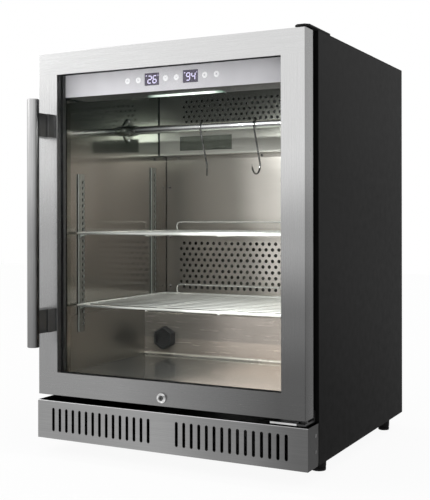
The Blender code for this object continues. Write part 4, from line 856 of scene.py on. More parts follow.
# ---- screws by Geometry Nodes
def screw_tree():
    """Pan-head screws with a crossed recess on the points of a mesh, all facing one way."""
    made = Grower("screw_set", "Radius, Height", vectors="Turn")
    given, calc, add, spot = made.given, made.math, made.add, made.spot
    radius, height = given("Radius"), given("Height")
    rim = add("GeometryNodeMeshCylinder", {"Vertices": 24, "Radius": radius,
                                           "Depth": calc("MULTIPLY", height, 0.4)})
    dome = add("GeometryNodeMeshCone", {"Vertices": 24, "Radius Top": calc("MULTIPLY", radius, 0.72),
                                        "Radius Bottom": calc("MULTIPLY", radius, 0.97),
                                        "Depth": calc("MULTIPLY", height, 0.62)})
    head = add("GeometryNodeMeshBoolean", {"Mesh 2": [
        made.moved(rim, spot(Z=calc("MULTIPLY", height, 0.2))),
        made.moved(dome, spot(Z=calc("MULTIPLY", height, 0.38)))]}, operation="UNION", solver="EXACT")
    length, width = calc("MULTIPLY", radius, 1.1), calc("MULTIPLY", radius, 0.22)
    bars = [made.moved(add("GeometryNodeMeshCube", {"Size": spot(X=x, Y=y, Z=height)}), spot(Z=height))
            for x, y in ((length, width), (width, length))]
    cut_head = add("GeometryNodeMeshBoolean", {"Mesh 1": head, "Mesh 2": made.joined(bars),
                                               "Self Intersection": True},
                   operation="DIFFERENCE", solver="EXACT")
    made.close(add("GeometryNodeInstanceOnPoints", {"Points": made.entry.outputs[0],
                                                    "Instance": cut_head, "Rotation": given("Turn")}))
    return made


screw_set = screw_tree()
screw_steel = chrome("screw_steel", 190, 110, 0.22)
dark_screw = chrome("dark_screw", 70, 30, 0.3)
facing_front = (math.pi / 2, 0, 0)
facing_back = (-math.pi / 2, 0, 0)
facing_right = (0, math.pi / 2, 0)
facing_left = (0, -math.pi / 2, 0)


def screws(name, places, turn, material, radius, height):
    """Screws of the cabinet at these places, all facing one way."""
    points = bpy.data.meshes.new(name + "_points")
    points.from_pydata(places, [], [])
    screw_set.grow(name, "cabinet", {"Radius": radius, "Height": height, "Turn": turn,
                                     "Material": material}, seed=points, smooth=30)


wall_y = wall_low.y
screws("air_wall_screws", [(side * x, wall_y, z) for side in (-1, 1) for x, z in (
    (0.228, 0.625), (0.252, 0.553), (0.250, 0.433), (0.250, 0.312))] + [(-0.002, wall_y, 0.625)],
       facing_front, screw_steel, 0.0034, 0.0018)
screws("cover_screws", [(x, cover_low.y, cover_high.z - 0.008) for x in (-0.235, -0.08, 0.08, 0.235)],
       facing_front, screw_steel, 0.003, 0.0014)
screws("back_panel_screws", [(side * (back_high.x - 0.006), back_high.y, z) for side in (-1, 1)
                             for z in (0.06, 0.25, 0.44, 0.63, 0.80)]
       + [(x, back_high.y, back_high.z - 0.006) for x in (-0.14, 0.0, 0.14)],
       facing_back, dark_screw, 0.0036, 0.0018)


# ---- kick plate, back panel, strips
kick_gauge = 0.0012
kick_half = kick_high.x - 0.0006
kick_top = kick_high.z - 0.010
# The slots nearest the middle, right and left of it, and the step from slot to slot
slot_inner, slot_inner_left, slot_pitch = 0.030, 0.0325, 0.0161
slot_width = 0.0064
punched_sheet.grow("kick_plate_face", "cabinet", {
    "Low X": -kick_half, "High X": kick_half, "Low Z": kick_low.z, "High Z": kick_top - kick_gauge,
    "Front Y": kick_low.y, "Thickness": kick_gauge, "Columns": 30, "Rows": 1, "Pitch": slot_pitch,
    "Row pitch": 1.0, "Hole width": slot_width, "Hole height": 0.0474, "Corner": slot_width / 2,
    "Corner steps": 8,
    "Stagger": 0.0, "First X": -slot_inner_left - 14 * slot_pitch, "First Z": 0.06915,
    "Middle gap": slot_inner + slot_inner_left - slot_pitch, "Material": kick_steel,
    **no_window(-kick_half, kick_low.z)},
    slot="brushed_steel")
bend = bmesh.new()
bend_foot = (kick_low.y + kick_gauge, kick_top - kick_gauge)
extrusion(bend, arc(bend_foot, kick_gauge, 180, 90, 6) + [bend_foot], "X", -kick_half, kick_half)
# The bend's lighter steel is a painted highlight along the kick plate's top edge, darkening to painted shade
# towards the hinge side.
bend_highlight_steel = brushed_steel("bend_highlight_steel", {0: 238, 0.7: 236, 1: 190}, across, -0.3, 0.3, grain=(1, 60, 60),
                           roughness=0.34)
piece_from("kick_plate_bend", bend, bend_highlight_steel, "cabinet", (), 40)
folds = bmesh.new()
for side in (-1, 1):
    inner, outer = sorted((side * (kick_half - kick_gauge), side * kick_half))
    rear_corner = 0.006
    front, rear = kick_low.y + kick_gauge, kick_high.y
    extrusion(folds, [(front, kick_low.z), (rear - rear_corner, kick_low.z), (rear, kick_low.z + rear_corner),
                      (rear, kick_top), (front, kick_top)], "X", inner, outer)
hem_back = kick_low.y + 0.0072
extrusion(folds, [bend_foot, (hem_back, kick_top - kick_gauge), (hem_back, kick_top),
                  (kick_low.y + kick_gauge, kick_top)], "X", -kick_half + kick_gauge, kick_half - kick_gauge)
# The catch that the lock's tongue turns behind
catch_half, catch_back, catch_edge = 0.017, -0.22045, 0.0002
block(folds, (-catch_half, hem_back, kick_top - kick_gauge), (catch_half, catch_back, kick_top), catch_edge)
block(folds, (-catch_half, catch_back - kick_gauge, kick_top), (catch_half, catch_back, kick_high.z),
      catch_edge)
piece_from("kick_plate_folds", folds, kick_steel, "cabinet", ("kick_plate",))
end_screw_y, end_screw_levels = -0.2212, (0.058, 0.087)
screws("kick_end_screws", [(kick_half, end_screw_y, z) for z in end_screw_levels], facing_right,
       chrome("kick_screw", 120, 64, 0.3), 0.0032, 0.0006)
screws("kick_left_screws", [(-kick_half, end_screw_y, z) for z in end_screw_levels], facing_left,
       dark_screw, 0.0032, 0.0006)

vent_width, vent_middle = 0.150, 0.145
rear_black = painted_sheet("rear_black", {0: 30, 1: 44}, up, 0.0, 0.8, 0.5)
corner_x = high_of("inlet_plate").x + seat_gap
corner_z = high_of("inlet_plate").z + seat_gap


def add_left_strip(mesh):
    """The rear sheet beside the louvres, above the inlet's plate."""
    builder = bmesh.new()
    builder.from_mesh(mesh)
    block(builder, (back_low.x, back_low.y, corner_z), (corner_x, back_high.y, back_high.z))
    builder.to_mesh(mesh)
    builder.free()


punched_sheet.grow("back_panel_sheet", "cabinet", {
    "Low X": corner_x, "High X": back_high.x, "Low Z": back_low.z, "High Z": back_high.z,
    "Front Y": back_low.y, "Thickness": back_high.y - back_low.y, "Columns": 2, "Rows": 8,
    "Pitch": 2 * vent_middle, "Row pitch": 0.015, "Hole width": vent_width, "Hole height": 0.006,
    "Corner": 0.0029, "Corner steps": 5, "Stagger": 0.0, "First X": -vent_middle, "First Z": 0.188,
    "Middle gap": 0.0, "Material": rear_black, **no_window(corner_x, back_low.z)},
    slot="black_painted_steel", nodes=("back_panel",), cleanup=add_left_strip)


def strip_finish():
    """Plated strip: its web painted dull and darker low down as painted shade, and a painted highlight on the
    bent edge that meets the light, with painted shade on the rest of that face in the corner.
    """
    made = Finish("strip_metal", (0.5, 0.5, 0.5), 0.3, 0.2)
    # Painted shade: the web dull, darker low down.
    dull = made.ramp(made.along(up, 0.15, 0.6), {0: (82, 82, 76), 1: (104, 104, 97)})
    # Painted highlight on the edge that faces the door.
    bright = made.ramp(made.along((0, -1, 0.3), 0.0, 0.3), {0: (160, 168, 162), 1: (246, 252, 248)})
    facing_door = made.along(outward, 0.3, 0.9, made.facing)
    # Painted shade near the wall, where the edge meets the corner; painted highlight nearer the middle.
    bent = made.ramp(made.along(across, -0.2601, -0.2595), {0: 70, 1: 255})
    painted_edge_highlight = made.times(bright, bent)
    fine = made.noise(9.0, (60, 60, 1), detail=6, rough=0.7)
    made.colour(made.times(made.blend("MIX", dull, painted_edge_highlight, facing_door), made.streaks(fine, 220)))
    made.roughness(made.span(fine, 0.2, 0.8, 0.22, 0.4))
    made.bump(fine, 0.00002)
    return made.material


strip_metal = strip_finish()
shelf_levels = [0.29552, 0.44668]


def shelf_strip(hand, where):
    """Wall strip: a shallow channel with slots in its web, and the two clips that carry the shelves."""
    node = "shelf_strip_" + hand + "_" + where
    low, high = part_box(node)
    side = -1 if hand == "left" else 1
    wall = side * max(abs(low.x), abs(high.x))
    middle_y = (low.y + high.y) / 2
    web = 0.0012
    face = wall - side * 0.004

    def finish_strip(mesh):
        turn = Matrix.Rotation(-side * math.pi / 2, 4, "Z")
        mesh.transform(Matrix.Translation((face, middle_y, 0)) @ turn)
        builder = bmesh.new()
        builder.from_mesh(mesh)
        rail = sorted((wall, face))
        block(builder, (rail[0], low.y, low.z), (rail[1], low.y + web, high.z))
        block(builder, (rail[0], high.y - web, low.z), (rail[1], high.y, high.z))
        for level in shelf_levels:
            top = level - 0.0033
            reach = face - side * 0.0105
            rear = wall - side * 0.001
            outline = [(rear, top), (reach, top), (reach, top - 0.0018),
                       (face - side * 0.004, top - 0.0034), (rear, top - 0.0085)]
            extrusion(builder, outline, "Y", low.y + 0.0045, low.y + 0.0135)
        bmesh.ops.recalc_face_normals(builder, faces=builder.faces)
        builder.to_mesh(mesh)
        builder.free()

    pitch = 0.0125
    rows = int((high.z - low.z) / pitch) - 1
    first = high.z - ((high.z - low.z) - (rows - 1) * pitch) / 2
    punched_sheet.grow("strip_" + hand + "_" + where, "cabinet", {
        "Low X": -0.010, "High X": 0.010, "Low Z": low.z, "High Z": high.z, "Front Y": 0.0,
        "Thickness": web, "Columns": 1, "Rows": rows, "Pitch": pitch, "Row pitch": pitch,
        "Hole width": 0.0066, "Hole height": 0.0062, "Corner": 0.0006, "Corner steps": 2, "Stagger": 0.0,
        "First X": 0.0045 * (1 if hand == "left" else -1), "First Z": first, "Middle gap": 0.0,
        "Material": strip_metal, **no_window(-0.010, low.z)},
        slot="zinc_plated_steel", nodes=(node,), cleanup=finish_strip)


for hand in ("left", "right"):
    for where in ("front", "rear"):
        shelf_strip(hand, where)


# ---- floor lining with its step
floor_low, floor_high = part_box("liner_floor")
step_front = high_of("filter_cap").y + seat_gap
lining_sheet = 0.001
inside_bend, outside_bend = 0.006, 0.004


def lining_section(depth):
    """The floor and its step in section, this deep below their upper side."""
    foot = (step_front - inside_bend, interior_floor + inside_bend)
    brow = (step_front + outside_bend, floor_high.z - outside_bend)
    return [(floor_low.y, interior_floor - depth), *arc(foot, inside_bend + depth, -90, 0, 8),
            *arc(brow, outside_bend - depth, 180, 90, 8), (floor_high.y, floor_high.z - depth)]


step = bmesh.new()
extrusion(step, lining_section(0) + lining_section(lining_sheet)[::-1], "X", floor_low.x, floor_high.x)
piece_from("floor_and_step_lining", step, floor_lining, "cabinet", ("liner_floor",), 25)


# ---- wire shelves
def wire_shelf_tree():
    """A welded shelf grown from its half width, depth and wire count."""
    made = Grower("wire_shelf", "Half width, Depth, Front, Level, Rim radius, Wire radius, Brace offset, "
                  "Lip height, Lip half width, Lip corner, First gap, Last gap", "Wires")
    given, calc, add, spot = made.given, made.math, made.add, made.spot
    half, depth, front, level = given("Half width"), given("Depth"), given("Front"), given("Level")
    bars = []

    def round_bar(curve, radius, sides=12):
        circle = add("GeometryNodeCurvePrimitiveCircle", {"Resolution": sides, "Radius": radius},
                     mode="RADIUS")
        bars.append(add("GeometryNodeCurveToMesh", {"Curve": curve, "Profile Curve": circle,
                                                    "Fill Caps": True}))

    def line(start, end):
        return add("GeometryNodeCurvePrimitiveLine", {"Start": start, "End": end})

    rim = made.rounded(made.rectangle(calc("MULTIPLY", half, 2.0), depth), 0.009, 6)
    round_bar(made.moved(rim, spot(Y=calc("MULTIPLY_ADD", depth, 0.5, front), Z=level)),
              given("Rim radius"), 16)
    points = add("GeometryNodePoints", {"Count": given("Wires")})
    index = add("GeometryNodeInputIndex")
    room = calc("SUBTRACT", calc("SUBTRACT", depth, given("First gap")), given("Last gap"))
    step = calc("DIVIDE", room, calc("SUBTRACT", given("Wires"), 1.0))
    y = calc("MULTIPLY_ADD", index, step, calc("ADD", front, given("First gap")))
    placed = add("GeometryNodeSetPosition", {"Geometry": points, "Position": spot(Y=y, Z=level)})
    one = line(spot(X=calc("MULTIPLY", half, -1.0)), spot(X=half))
    wires = add("GeometryNodeInstanceOnPoints", {"Points": placed, "Instance": one})
    round_bar(made.realized(wires), given("Wire radius"), 10)
    under = calc("SUBTRACT", level, given("Rim radius"))
    rear = calc("ADD", front, depth)
    for side in (-1.0, 1.0):
        x = calc("MULTIPLY", given("Brace offset"), side)
        round_bar(line(spot(X=x, Y=front, Z=under), spot(X=x, Y=rear, Z=under)), 0.0023)
    lip = made.rounded(made.rectangle(calc("MULTIPLY", given("Lip half width"), 2.0), given("Lip height")),
                       given("Lip corner"), 6)
    lip_z = calc("MULTIPLY_ADD", given("Lip height"), 0.5, level)
    round_bar(made.moved(lip, spot(Y=rear, Z=lip_z), (math.pi / 2, 0, 0)), 0.0019)
    made.close(made.joined(bars))
    return made


wire_shelf = wire_shelf_tree()
for label in ("lower", "upper"):
    low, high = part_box("shelf_" + label)
    rim_radius = 0.003
    wire_shelf.grow("wire_shelf_" + label, "shelf_" + label, {
        "Half width": high.x - rim_radius, "Depth": 0.362, "Front": low.y + rim_radius,
        "Level": shelf_levels[0] if label == "lower" else shelf_levels[1], "Wires": 11,
        "First gap": 0.048, "Last gap": 0.026, "Rim radius": rim_radius, "Wire radius": 0.0013,
        "Brace offset": 0.082, "Lip height": 0.022, "Lip half width": 0.2183, "Lip corner": 0.009,
        "Material": wire_chrome}, slot="chrome_wire", nodes=("shelf_" + label,), smooth=35)


# ---- rod, wall flanges and hooks
rod_y, rod_z = middle_of("hanging_rod")[1:]
rod_radius = (rod_high.z - rod_low.z) / 2
rod_mesh = bmesh.new()
rod_length, rod_edge = rod_high.x - rod_low.x, 0.0006
turned(rod_mesh, [(0, 0), (rod_radius - rod_edge, 0), (rod_radius, rod_edge),
                  (rod_radius, rod_length - rod_edge), (rod_radius - rod_edge, rod_length), (0, rod_length)],
       (rod_low.x, rod_y, rod_z), across, 64)
piece_from("rod_tube", rod_mesh, rod_chrome, "cabinet", ("hanging_rod",), 30)
for hand, side in (("left", -1), ("right", 1)):
    low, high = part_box("rod_bracket_" + hand)
    wall = side * max(abs(low.x), abs(high.x))
    reach = (high.z - low.z) / 2
    corner = 0.007
    straight = reach - corner * math.sqrt(2)
    middles = ring_points((rod_y, rod_z), straight, 4)
    outline = [point for quarter, middle in enumerate(middles)
               for point in arc(middle, corner, quarter * 90 - 45, quarter * 90 + 45, 6)]
    flange = bmesh.new()
    flange_thickness, socket_radius, screw_ring = 0.003, 0.0115, 0.0215
    extrusion(flange, outline, "X", wall, wall - side * flange_thickness)
    depth = high.x - low.x
    bore = rod_radius + 0.0004
    turned(flange, [(socket_radius + 0.003, flange_thickness), (socket_radius + 0.0008, 0.0042),
                    (socket_radius, 0.0062), (socket_radius, depth - 0.0012), (socket_radius - 0.0008, depth),
                    (bore, depth), (bore, flange_thickness), (socket_radius + 0.003, flange_thickness)],
           (wall, rod_y, rod_z), (-side, 0, 0), 56)
    piece_from("rod_flange_" + hand, flange, flange_chrome, "cabinet",
               ("rod_bracket_" + hand,), 35)
    screws("rod_screws_" + hand, [(wall - side * flange_thickness, rod_y + dy * screw_ring,
                                   rod_z + dz * screw_ring) for dy, dz in ((0, 1), (0, -1), (1, 0), (-1, 0))],
           facing_right if side < 0 else facing_left, screw_steel, 0.0026, 0.0012)


def meat_hook(hand, x, twist):
    """S-shaped hook: a loop over the rod, a straight shank and a sharpened, twisted bend."""
    wire_radius = 0.0019
    top_radius, bottom_radius, drop = 0.0125, 0.0205, 0.106
    top = (0, rod_radius + seat_gap + wire_radius - top_radius)
    bottom = (0, -drop + bottom_radius)

    points = [(x, rod_y + a, rod_z + b) for a, b in arc(top, top_radius, -35, 190, 30)]
    lower = arc(bottom, bottom_radius, 8, -180, 30)
    start = lower[0][0]
    points += [(x + (a - start) * math.sin(twist), rod_y + start + (a - start) * math.cos(twist), rod_z + b)
               for a, b in lower]
    pointed_wire("meat_hook_" + hand, points, wire_radius, 0.012, hook_chrome, "hook_" + hand,
                 ("hook_" + hand,))


meat_hook("left", -0.066, math.radians(-28))
meat_hook("right", 0.064, 0.0)


# ---- filter cap, feet, lock
cap_low, cap_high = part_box("filter_cap")
cap_x, _, cap_z = middle_of("filter_cap")
cap_radius = (cap_high.z - cap_low.z) / 2
cap = bmesh.new()
rows = []
for radius, y in ((cap_radius, cap_high.y), (cap_radius, cap_low.y + 0.003),
                  (cap_radius - 0.0008, cap_low.y + 0.0012), (cap_radius - 0.0024, cap_low.y),
                  (cap_radius - 0.0062, cap_low.y), (cap_radius - 0.0070, cap_low.y + 0.0016)):
    rows.append([cap.verts.new((px, y, pz))
                 for px, pz in ring_points((cap_x, cap_z), radius, 6, 90)])
walls(cap, rows)
cap.faces.new(rows[0])
cap.faces.new(list(reversed(rows[-1])))
for k in range(-3, 4):
    z = cap_z + k * 0.0048
    half = (cap_radius - 0.0100) * (1 - 0.22 * abs(k) / 3) * 0.86
    block(cap, (cap_x - half, cap_low.y + 0.0004, z - 0.0009), (cap_x + half, cap_low.y + 0.0022, z + 0.0009),
          0.0003)
piece_from("air_filter_cap", cap, filter_black, "cabinet", ("filter_cap",), 30)

for place in ("front_left", "front_right", "rear_left", "rear_right"):
    name = "foot_" + place
    low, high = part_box(name)
    centre = (*middle_of(name)[:2], 0)
    radius = (high.x - low.x) / 2
    pad = 0.0297
    profile = [(0, low.z), (radius - 0.003, low.z), (radius - 0.0016, low.z + 0.0004),
               (radius - 0.0011, low.z + 0.0016), (radius - 0.0009, 0.006), (radius - 0.0019, 0.0066),
               (radius - 0.0019, 0.0078), (radius - 0.0007, 0.0084), (radius, pad - 0.0012),
               (radius - 0.0010, pad), (0.0039, pad)]
    thread = 0.0011
    z = pad
    while z + thread < high.z - 0.0006:
        profile += [(0.0039, z + thread * 0.2), (0.0034, z + thread * 0.6)]
        z += thread
    profile += [(0.0036, high.z - 0.0005), (0.0030, high.z), (0, high.z)]
    foot = bmesh.new()
    turned(foot, profile, centre, up, 48)
    piece_from("levelling_" + name, foot, rubber_black, name, (name,), 30)

ring_low, ring_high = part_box("lock_ring")
lock_x, _, lock_z = middle_of("lock_ring")
ring_radius = (ring_high.z - ring_low.z) / 2
bezel = bmesh.new()
bore = 0.0052
depth = ring_high.y - ring_low.y
turned(bezel, [(bore, 0.0), (0.0064, 0.0), (0.0069, 0.0005), (0.0074, 0.0005), (0.0081, 0.0),
               (ring_radius - 0.0009, 0.0003), (ring_radius - 0.0002, 0.0010), (ring_radius, 0.0019),
               (ring_radius, 0.0047), (0.0064, 0.0047), (0.0064, depth), (bore, depth), (bore, 0.0)],
       (lock_x, ring_low.y, lock_z), inward, 72)
piece_from("lock_bezel", bezel, plated, "door", ("lock_ring",), 25)


# ---- handle
tube_x, tube_y = middle_of("handle_tube")[:2]
tube_radius = (tube_high.x - tube_low.x) / 2
tube = bmesh.new()
length = tube_high.z - tube_low.z
end = 0.0018
profile = [(0, 0), *arc((tube_radius - end, end), end, -90, 0, 6),
           *arc((tube_radius - end, length - end), end, 0, 90, 6), (0, length)]
turned(tube, profile, (tube_x, tube_y, tube_low.z), up, 96)
piece_from("handle_bar", tube, handle_steel, "door", ("handle_tube",), 25)
for which in ("upper", "lower"):
    low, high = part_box("handle_bracket_" + which)
    seat = tube_radius + seat_gap
    joint = door_front - 0.023
    chamfer = 0.0008
    arm = tube_radius + 0.0004
    reach = 0.0034
    mouth = math.degrees(math.asin(reach / seat))
    saddle = arc((tube_x, tube_y), seat, 180 - mouth, mouth, 32)
    left_of, right_of = tube_x - arm, tube_x + arm
    line, step = 0.0006, 0.0012
    front, back = joint - line, joint + line
    outline = [(low.x, high.y), (low.x, back + chamfer), (low.x + chamfer, back), (left_of + step, back),
               (left_of + step, front), (left_of, front), (left_of, tube_y + reach), *saddle,
               (right_of, tube_y + reach), (right_of, front), (right_of - step, front),
               (right_of - step, back), (high.x - chamfer, back), (high.x, back + chamfer), (high.x, high.y)]
    bracket = bmesh.new()
    extrusion(bracket, outline, "Z", low.z, high.z)
    lids = [edge for edge in bracket.edges
            if abs(edge.verts[0].co.z - edge.verts[1].co.z) < 1e-7 and len(edge.link_faces) == 2]
    bmesh.ops.bevel(bracket, geom=lids, offset=0.0005, segments=2, affect="EDGES", profile=0.5)
    piece_from("bracket_" + which, bracket, bracket_black, "door",
               ("handle_bracket_" + which,), 30)


# ---- door frame
frame_half_x = door_high.x
frame_half_z = (door_high.z - door_low.z) / 2
face = 0.0467
sheet = 0.0012
bend = 0.0014
edge = 0.0008
profile = [(0, door_high.y), *arc((-bend, door_front + bend), bend, 0, -90, 5), (-bend - 0.0006, door_front),
           (-face + 0.0014, door_front), *arc((-face + edge, door_front + edge), edge, -90, -180, 3),
           (-face, door_front + sheet), (-sheet, door_front + sheet), (-sheet, door_high.y)]
skin = bmesh.new()
swept_frame(skin, profile, frame_half_x, frame_half_z, frame_middle)
piece_from("door_skin", skin, door_steel, "door", ("door_frame",), 30)


# ---- control panel
fascia_low, fascia_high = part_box("control_fascia")
board_low, board_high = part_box("display_board")
panel_y = fascia_low.y
fascia_back = fascia_high.y
button_names = [(hand, place) for hand in ("left", "right") for place in ("inner", "middle", "outer")]
button_spots = {}
for hand, place in button_names:
    low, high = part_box("button_" + hand + "_" + place)
    x, _, z = middle_of("button_" + hand + "_" + place)
    button_spots[hand, place] = (x, z, low.y, high.y, (high.x - low.x) / 2)
button_z = button_spots["left", "inner"][1]
button_radius = 0.0058
display_middle, display_wide, display_tall = 0.0432, 0.0334, 0.0246
holes = []
for side in (-1, 1):
    holes.append(rounded((side * display_middle - display_wide / 2, button_z - display_tall / 2),
                         (side * display_middle + display_wide / 2, button_z + display_tall / 2), 0.0008, 3))
for x, z, *_ in button_spots.values():
    holes.append(ring_points((x, z), button_radius + seat_gap, 40))
plate = bmesh.new()
flat_plate(plate, rounded((fascia_low.x, fascia_low.z), (fascia_high.x, fascia_high.z), 0.0006, 2), holes,
           panel_y, fascia_back)
piece_from("fascia_plate", plate, fascia_silver, "cabinet", ("control_fascia",), 30)
for hand, place in button_names:
    x, z, front, back, flange_radius = button_spots[hand, place]
    flange = fascia_back + seat_gap
    profile = [(0, front + 0.0001), (button_radius * 0.55, front + 0.00005), (button_radius * 0.8, front),
               (button_radius - 0.0003, front + 0.0002), (button_radius, front + 0.0006),
               (button_radius, flange), (flange_radius, flange), (flange_radius, flange + 0.001),
               (0.002, flange + 0.001), (0.002, back), (0, back)]
    knob = bmesh.new()
    turned(knob, [(r, y - front) for r, y in profile], (x, front, z), inward, 48)
    piece_from("key_" + hand + "_" + place, knob, button_silver, "button_" + hand + "_" + place,
               ("button_" + hand + "_" + place,), 30)

window = bmesh.new()
screen_y = panel_y + 0.0006
for side in (-1, 1):
    extrusion(window, rounded((side * display_middle - display_wide / 2 + seat_gap,
                               button_z - display_tall / 2 + seat_gap),
                              (side * display_middle + display_wide / 2 - seat_gap,
                               button_z + display_tall / 2 - seat_gap), 0.0007, 3),
              "Y", screen_y, board_low.y if board_low.y > screen_y + 0.001 else screen_y + 0.004)
extrusion(window, rounded((board_low.x, board_low.z), (board_high.x, board_high.z), 0.0008, 2), "Y",
          board_high.y - 0.0016, board_high.y)
piece_from("display_windows", window, display_tint, "cabinet", ("display_board",))

film, bar_width = 0.0003, 0.0019
segment_sets = {"2": "abged", "6": "acdefg", "9": "abcdfg", "4": "bcfg"}


def digit(builder, text, x, z, wide, tall, y):
    """One seven-segment figure with pointed bars."""
    half = wide / 2
    spots = {"a": (0, tall / 2, True), "d": (0, -tall / 2, True), "g": (0, 0, True),
             "f": (-half, tall / 4, False), "b": (half, tall / 4, False),
             "e": (-half, -tall / 4, False), "c": (half, -tall / 4, False)}
    for key in segment_sets[text]:
        dx, dz, flat = spots[key]
        long = (half if flat else tall / 4) - 0.0003
        t = bar_width / 2
        shape = [(-long, 0), (-long + t, -t), (long - t, -t), (long, 0), (long - t, t), (-long + t, t)]
        if not flat:
            shape = [(-b, a) for a, b in shape]
        slant = 0.08
        points = [(x + dx + a + slant * (dz + b), z + dz + b) for a, b in shape]
        extrusion(builder, points, "Y", y, y + film)


digits = bmesh.new()
glow_y = screen_y - film
for side, text in ((-1, "26"), (1, "94")):
    middle = side * display_middle
    for figure, x in zip(text, (middle - 0.0052, middle + 0.0062)):
        digit(digits, figure, x, button_z - 0.0006, 0.0074, 0.0138, glow_y)
    block(digits, (middle - 0.0142, glow_y, button_z + 0.0062),
          (middle - 0.0116, glow_y + film, button_z + 0.0080))
    for x, z in ring_points((middle + 0.0138, button_z + 0.0070), 0.0010, 6):
        block(digits, (x - 0.0003, glow_y, z - 0.0003), (x + 0.0003, glow_y + film, z + 0.0003))
piece_from("display_figures", digits, digit_glow, "cabinet")


def mark_piece(hand, place, shapes):
    """Thin printed mark on a button, from outlines in millimetres round its middle."""
    x, z, front, *_ = button_spots[hand, place]
    marks = bmesh.new()
    for shape in shapes:
        extrusion(marks, [(x + a / 1000, z + b / 1000) for a, b in shape], "Y", front - 0.00002,
                  front + 0.00012)
    piece_from("mark_" + hand + "_" + place, marks, mark_grey, "button_" + hand + "_" + place)


def stroke(x0, z0, x1, z1, wide=0.45):
    """A straight stroke between two points."""
    run = Vector((x1 - x0, z1 - z0)).normalized() * wide / 2
    return [(x0 + run.y, z0 - run.x), (x1 + run.y, z1 - run.x), (x1 - run.y, z1 + run.x),
            (x0 - run.y, z0 + run.x)]


def strokes_round(radius, first, last, count):
    """Short strokes along an arc."""
    points = arc((0, 0), radius, first, last, count)
    return [stroke(*a, *b) for a, b in zip(points, points[1:])]


mark_piece("left", "outer", strokes_round(1.8, 120, 420, 14) + [stroke(0, 0.4, 0, 2.4)])
mark_piece("left", "middle", strokes_round(1.3, -40, 220, 12) + [stroke(-0.7, -1.6, 0.7, -1.6),
                                                                stroke(-0.5, -2.3, 0.5, -2.3)])
mark_piece("left", "inner", [stroke(-1.7, -0.9, 0, 1.2), stroke(0, 1.2, 1.7, -0.9)])
mark_piece("right", "inner", [stroke(-1.7, 0.9, 0, -1.2), stroke(0, -1.2, 1.7, 0.9)])
mark_piece("right", "middle", strokes_round(1.7, 0, 360, 16) + [stroke(-0.6, 0, 0.6, 0, 0.9)])
mark_piece("right", "outer", [stroke(0, -2.2, 0, 2.2), stroke(-1.9, -1.1, 1.9, 1.1),
                              stroke(-1.9, 1.1, 1.9, -1.1)])


# ---- hinges
arm_low, arm_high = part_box("hinge_bottom")
arm = bmesh.new()
hinge_x, hinge_y = 0.283, -0.24115
arm_top = arm_low.z + 0.004
arm_edge, lug_height, lug_gauge = 0.0004, 0.0200, 0.003
side_view = [(arm_low.y, arm_low.z + arm_edge), (arm_low.y + arm_edge, arm_low.z), (arm_high.y, arm_low.z),
             (arm_high.y, arm_low.z + lug_height), (arm_high.y - lug_gauge, arm_low.z + lug_height),
             (arm_high.y - lug_gauge, arm_top + 0.0015), (arm_high.y - lug_gauge - 0.0015, arm_top),
             (arm_low.y + arm_edge, arm_top), (arm_low.y, arm_top - arm_edge)]
arm_end = 0.2735
extrusion(arm, side_view, "X", arm_low.x, arm_end)
piece_from("hinge_arm", arm, hinge_steel, "cabinet", ("hinge_bottom",), 30)
knuckle = bmesh.new()
extrusion(knuckle, side_view, "X", arm_end + 0.0004, arm_high.x)
piece_from("hinge_knuckle", knuckle, black_moulding, "cabinet", (), 30)
collar = bmesh.new()
turned(collar, [(0.0042, 0.0), (0.0068, 0.0), (0.0070, 0.0003), (0.0070, 0.0024), (0.0063, 0.0028),
                (0.0063, 0.0034), (0.0070, 0.0038), (0.0070, 0.0058), (0.0067, 0.0061), (0.0042, 0.0061)],
       (hinge_x, hinge_y, arm_top), up, 40)
pin_height = arm_high.z - arm_top
turned(collar, [(0, 0), (0.0040, 0), (0.0040, pin_height - 0.0006), (0.0034, pin_height), (0, pin_height)],
       (hinge_x, hinge_y, arm_top), up, 32)
piece_from("hinge_collar", collar, black_moulding, "cabinet", (), 30)


# ---- stage, light and camera
def paper_finish():
    """White paper to the camera, and a soft pale grey surface to everything else."""
    made = Finish("studio_paper", shade(244), 0.9)
    made.colour(made.ramp(made.noise(2.0), {0: 243, 1: 246}))
    made.bump(made.noise(400.0, detail=2), 0.00002, 0.2)
    ray = made.tree.nodes.new("ShaderNodeLightPath").outputs
    seen = made.add("Math", {0: ray["Is Camera Ray"], 1: ray["Is Glossy Ray"]}, operation="MAXIMUM")
    share = made.add("Math", {0: seen, 1: 0.93}, operation="MULTIPLY")
    light = made.add("Emission", {"Color": (1, 1, 1, 1)})
    mixed = made.add("MixShader", {0: share, 1: made.shader.outputs[0], 2: light})
    made.tree.links.new(mixed, made.tree.nodes["Material Output"].inputs["Surface"])
    return made.material


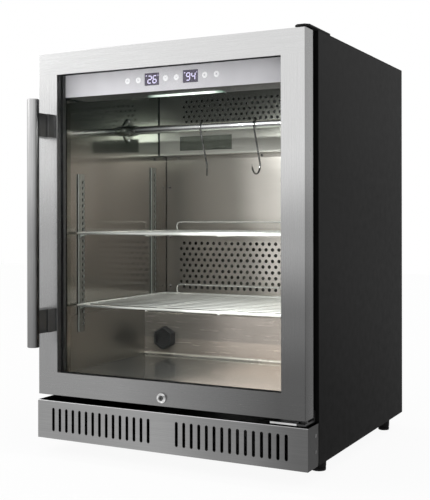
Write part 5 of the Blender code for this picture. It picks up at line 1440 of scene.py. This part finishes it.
floor_mesh = bpy.data.meshes.new("studio_floor")
floor_mesh.from_pydata([(-6, -6, 0), (6, -6, 0), (6, 6, 0), (-6, 6, 0)], [], [(0, 1, 2, 3)])
floor_mesh.materials.append(paper_finish())
linked("studio_floor", floor_mesh)

world = bpy.data.worlds.new("studio_world")
scene.world = world
world.use_nodes = True
sky = world.node_tree
sky.nodes.clear()


def background(strength):
    return add_node(sky, "ShaderNodeBackground", {"Color": (1, 1, 1, 1), "Strength": strength})


def either(first, second):
    return add_node(sky, "ShaderNodeMath", {0: first, 1: second}, operation="MAXIMUM")


ray = sky.nodes.new("ShaderNodeLightPath").outputs
plain = either(either(ray["Is Camera Ray"], ray["Is Transmission Ray"]), ray["Is Glossy Ray"])
mixed = add_node(sky, "ShaderNodeMixShader", {0: plain, 1: background(0.85), 2: background(1.0)})
add_node(sky, "ShaderNodeOutputWorld", {"Surface": mixed})


def lamp(name, place, aim, size, power, colour=(1, 1, 1)):
    data = bpy.data.lights.new(name, "AREA")
    data.shape = "RECTANGLE"
    data.size, data.size_y = size
    data.energy = power
    data.color = colour
    made = linked(name, data)
    made.location = place
    made.rotation_euler = (Vector(aim) - Vector(place)).to_track_quat("-Z", "Y").to_euler()
    return made


lamp("soft_left", (-2.4, -1.6, 1.9), (0, 0, 0.4), (1.4, 1.4), 10)
lamp("interior_lamp", (0, -0.167, 0.7205), (0, -0.05, 0.3), (0.17, 0.014), 1.6, (0.98, 1.0, 0.99))
for fill in (lamp("interior_fill", (0.13, -0.2045, 0.43), (0.13, 0.2, 0.43), (0.25, 0.55), 1.9),
             lamp("panel_fill", (-0.12, -0.45, 0.62), (-0.06, -0.226, 0.76), (0.5, 0.1), 0.75)):
    fill.visible_camera = False
    fill.visible_glossy = False

camera_data = bpy.data.cameras.new("photo_camera")
camera = scene.camera = linked("photo_camera", camera_data)
camera.location = (0.91011, -1.78456, 0.47804)
camera.rotation_euler = Euler((math.pi / 2, math.radians(0.077), math.radians(27.436)))
camera_data.lens = 67.03
camera_data.shift_x = -0.0047
camera_data.shift_y = -0.0638
camera_data.clip_start = 0.05
camera_data.dof.use_dof = False

scene.view_settings.view_transform = "Standard"
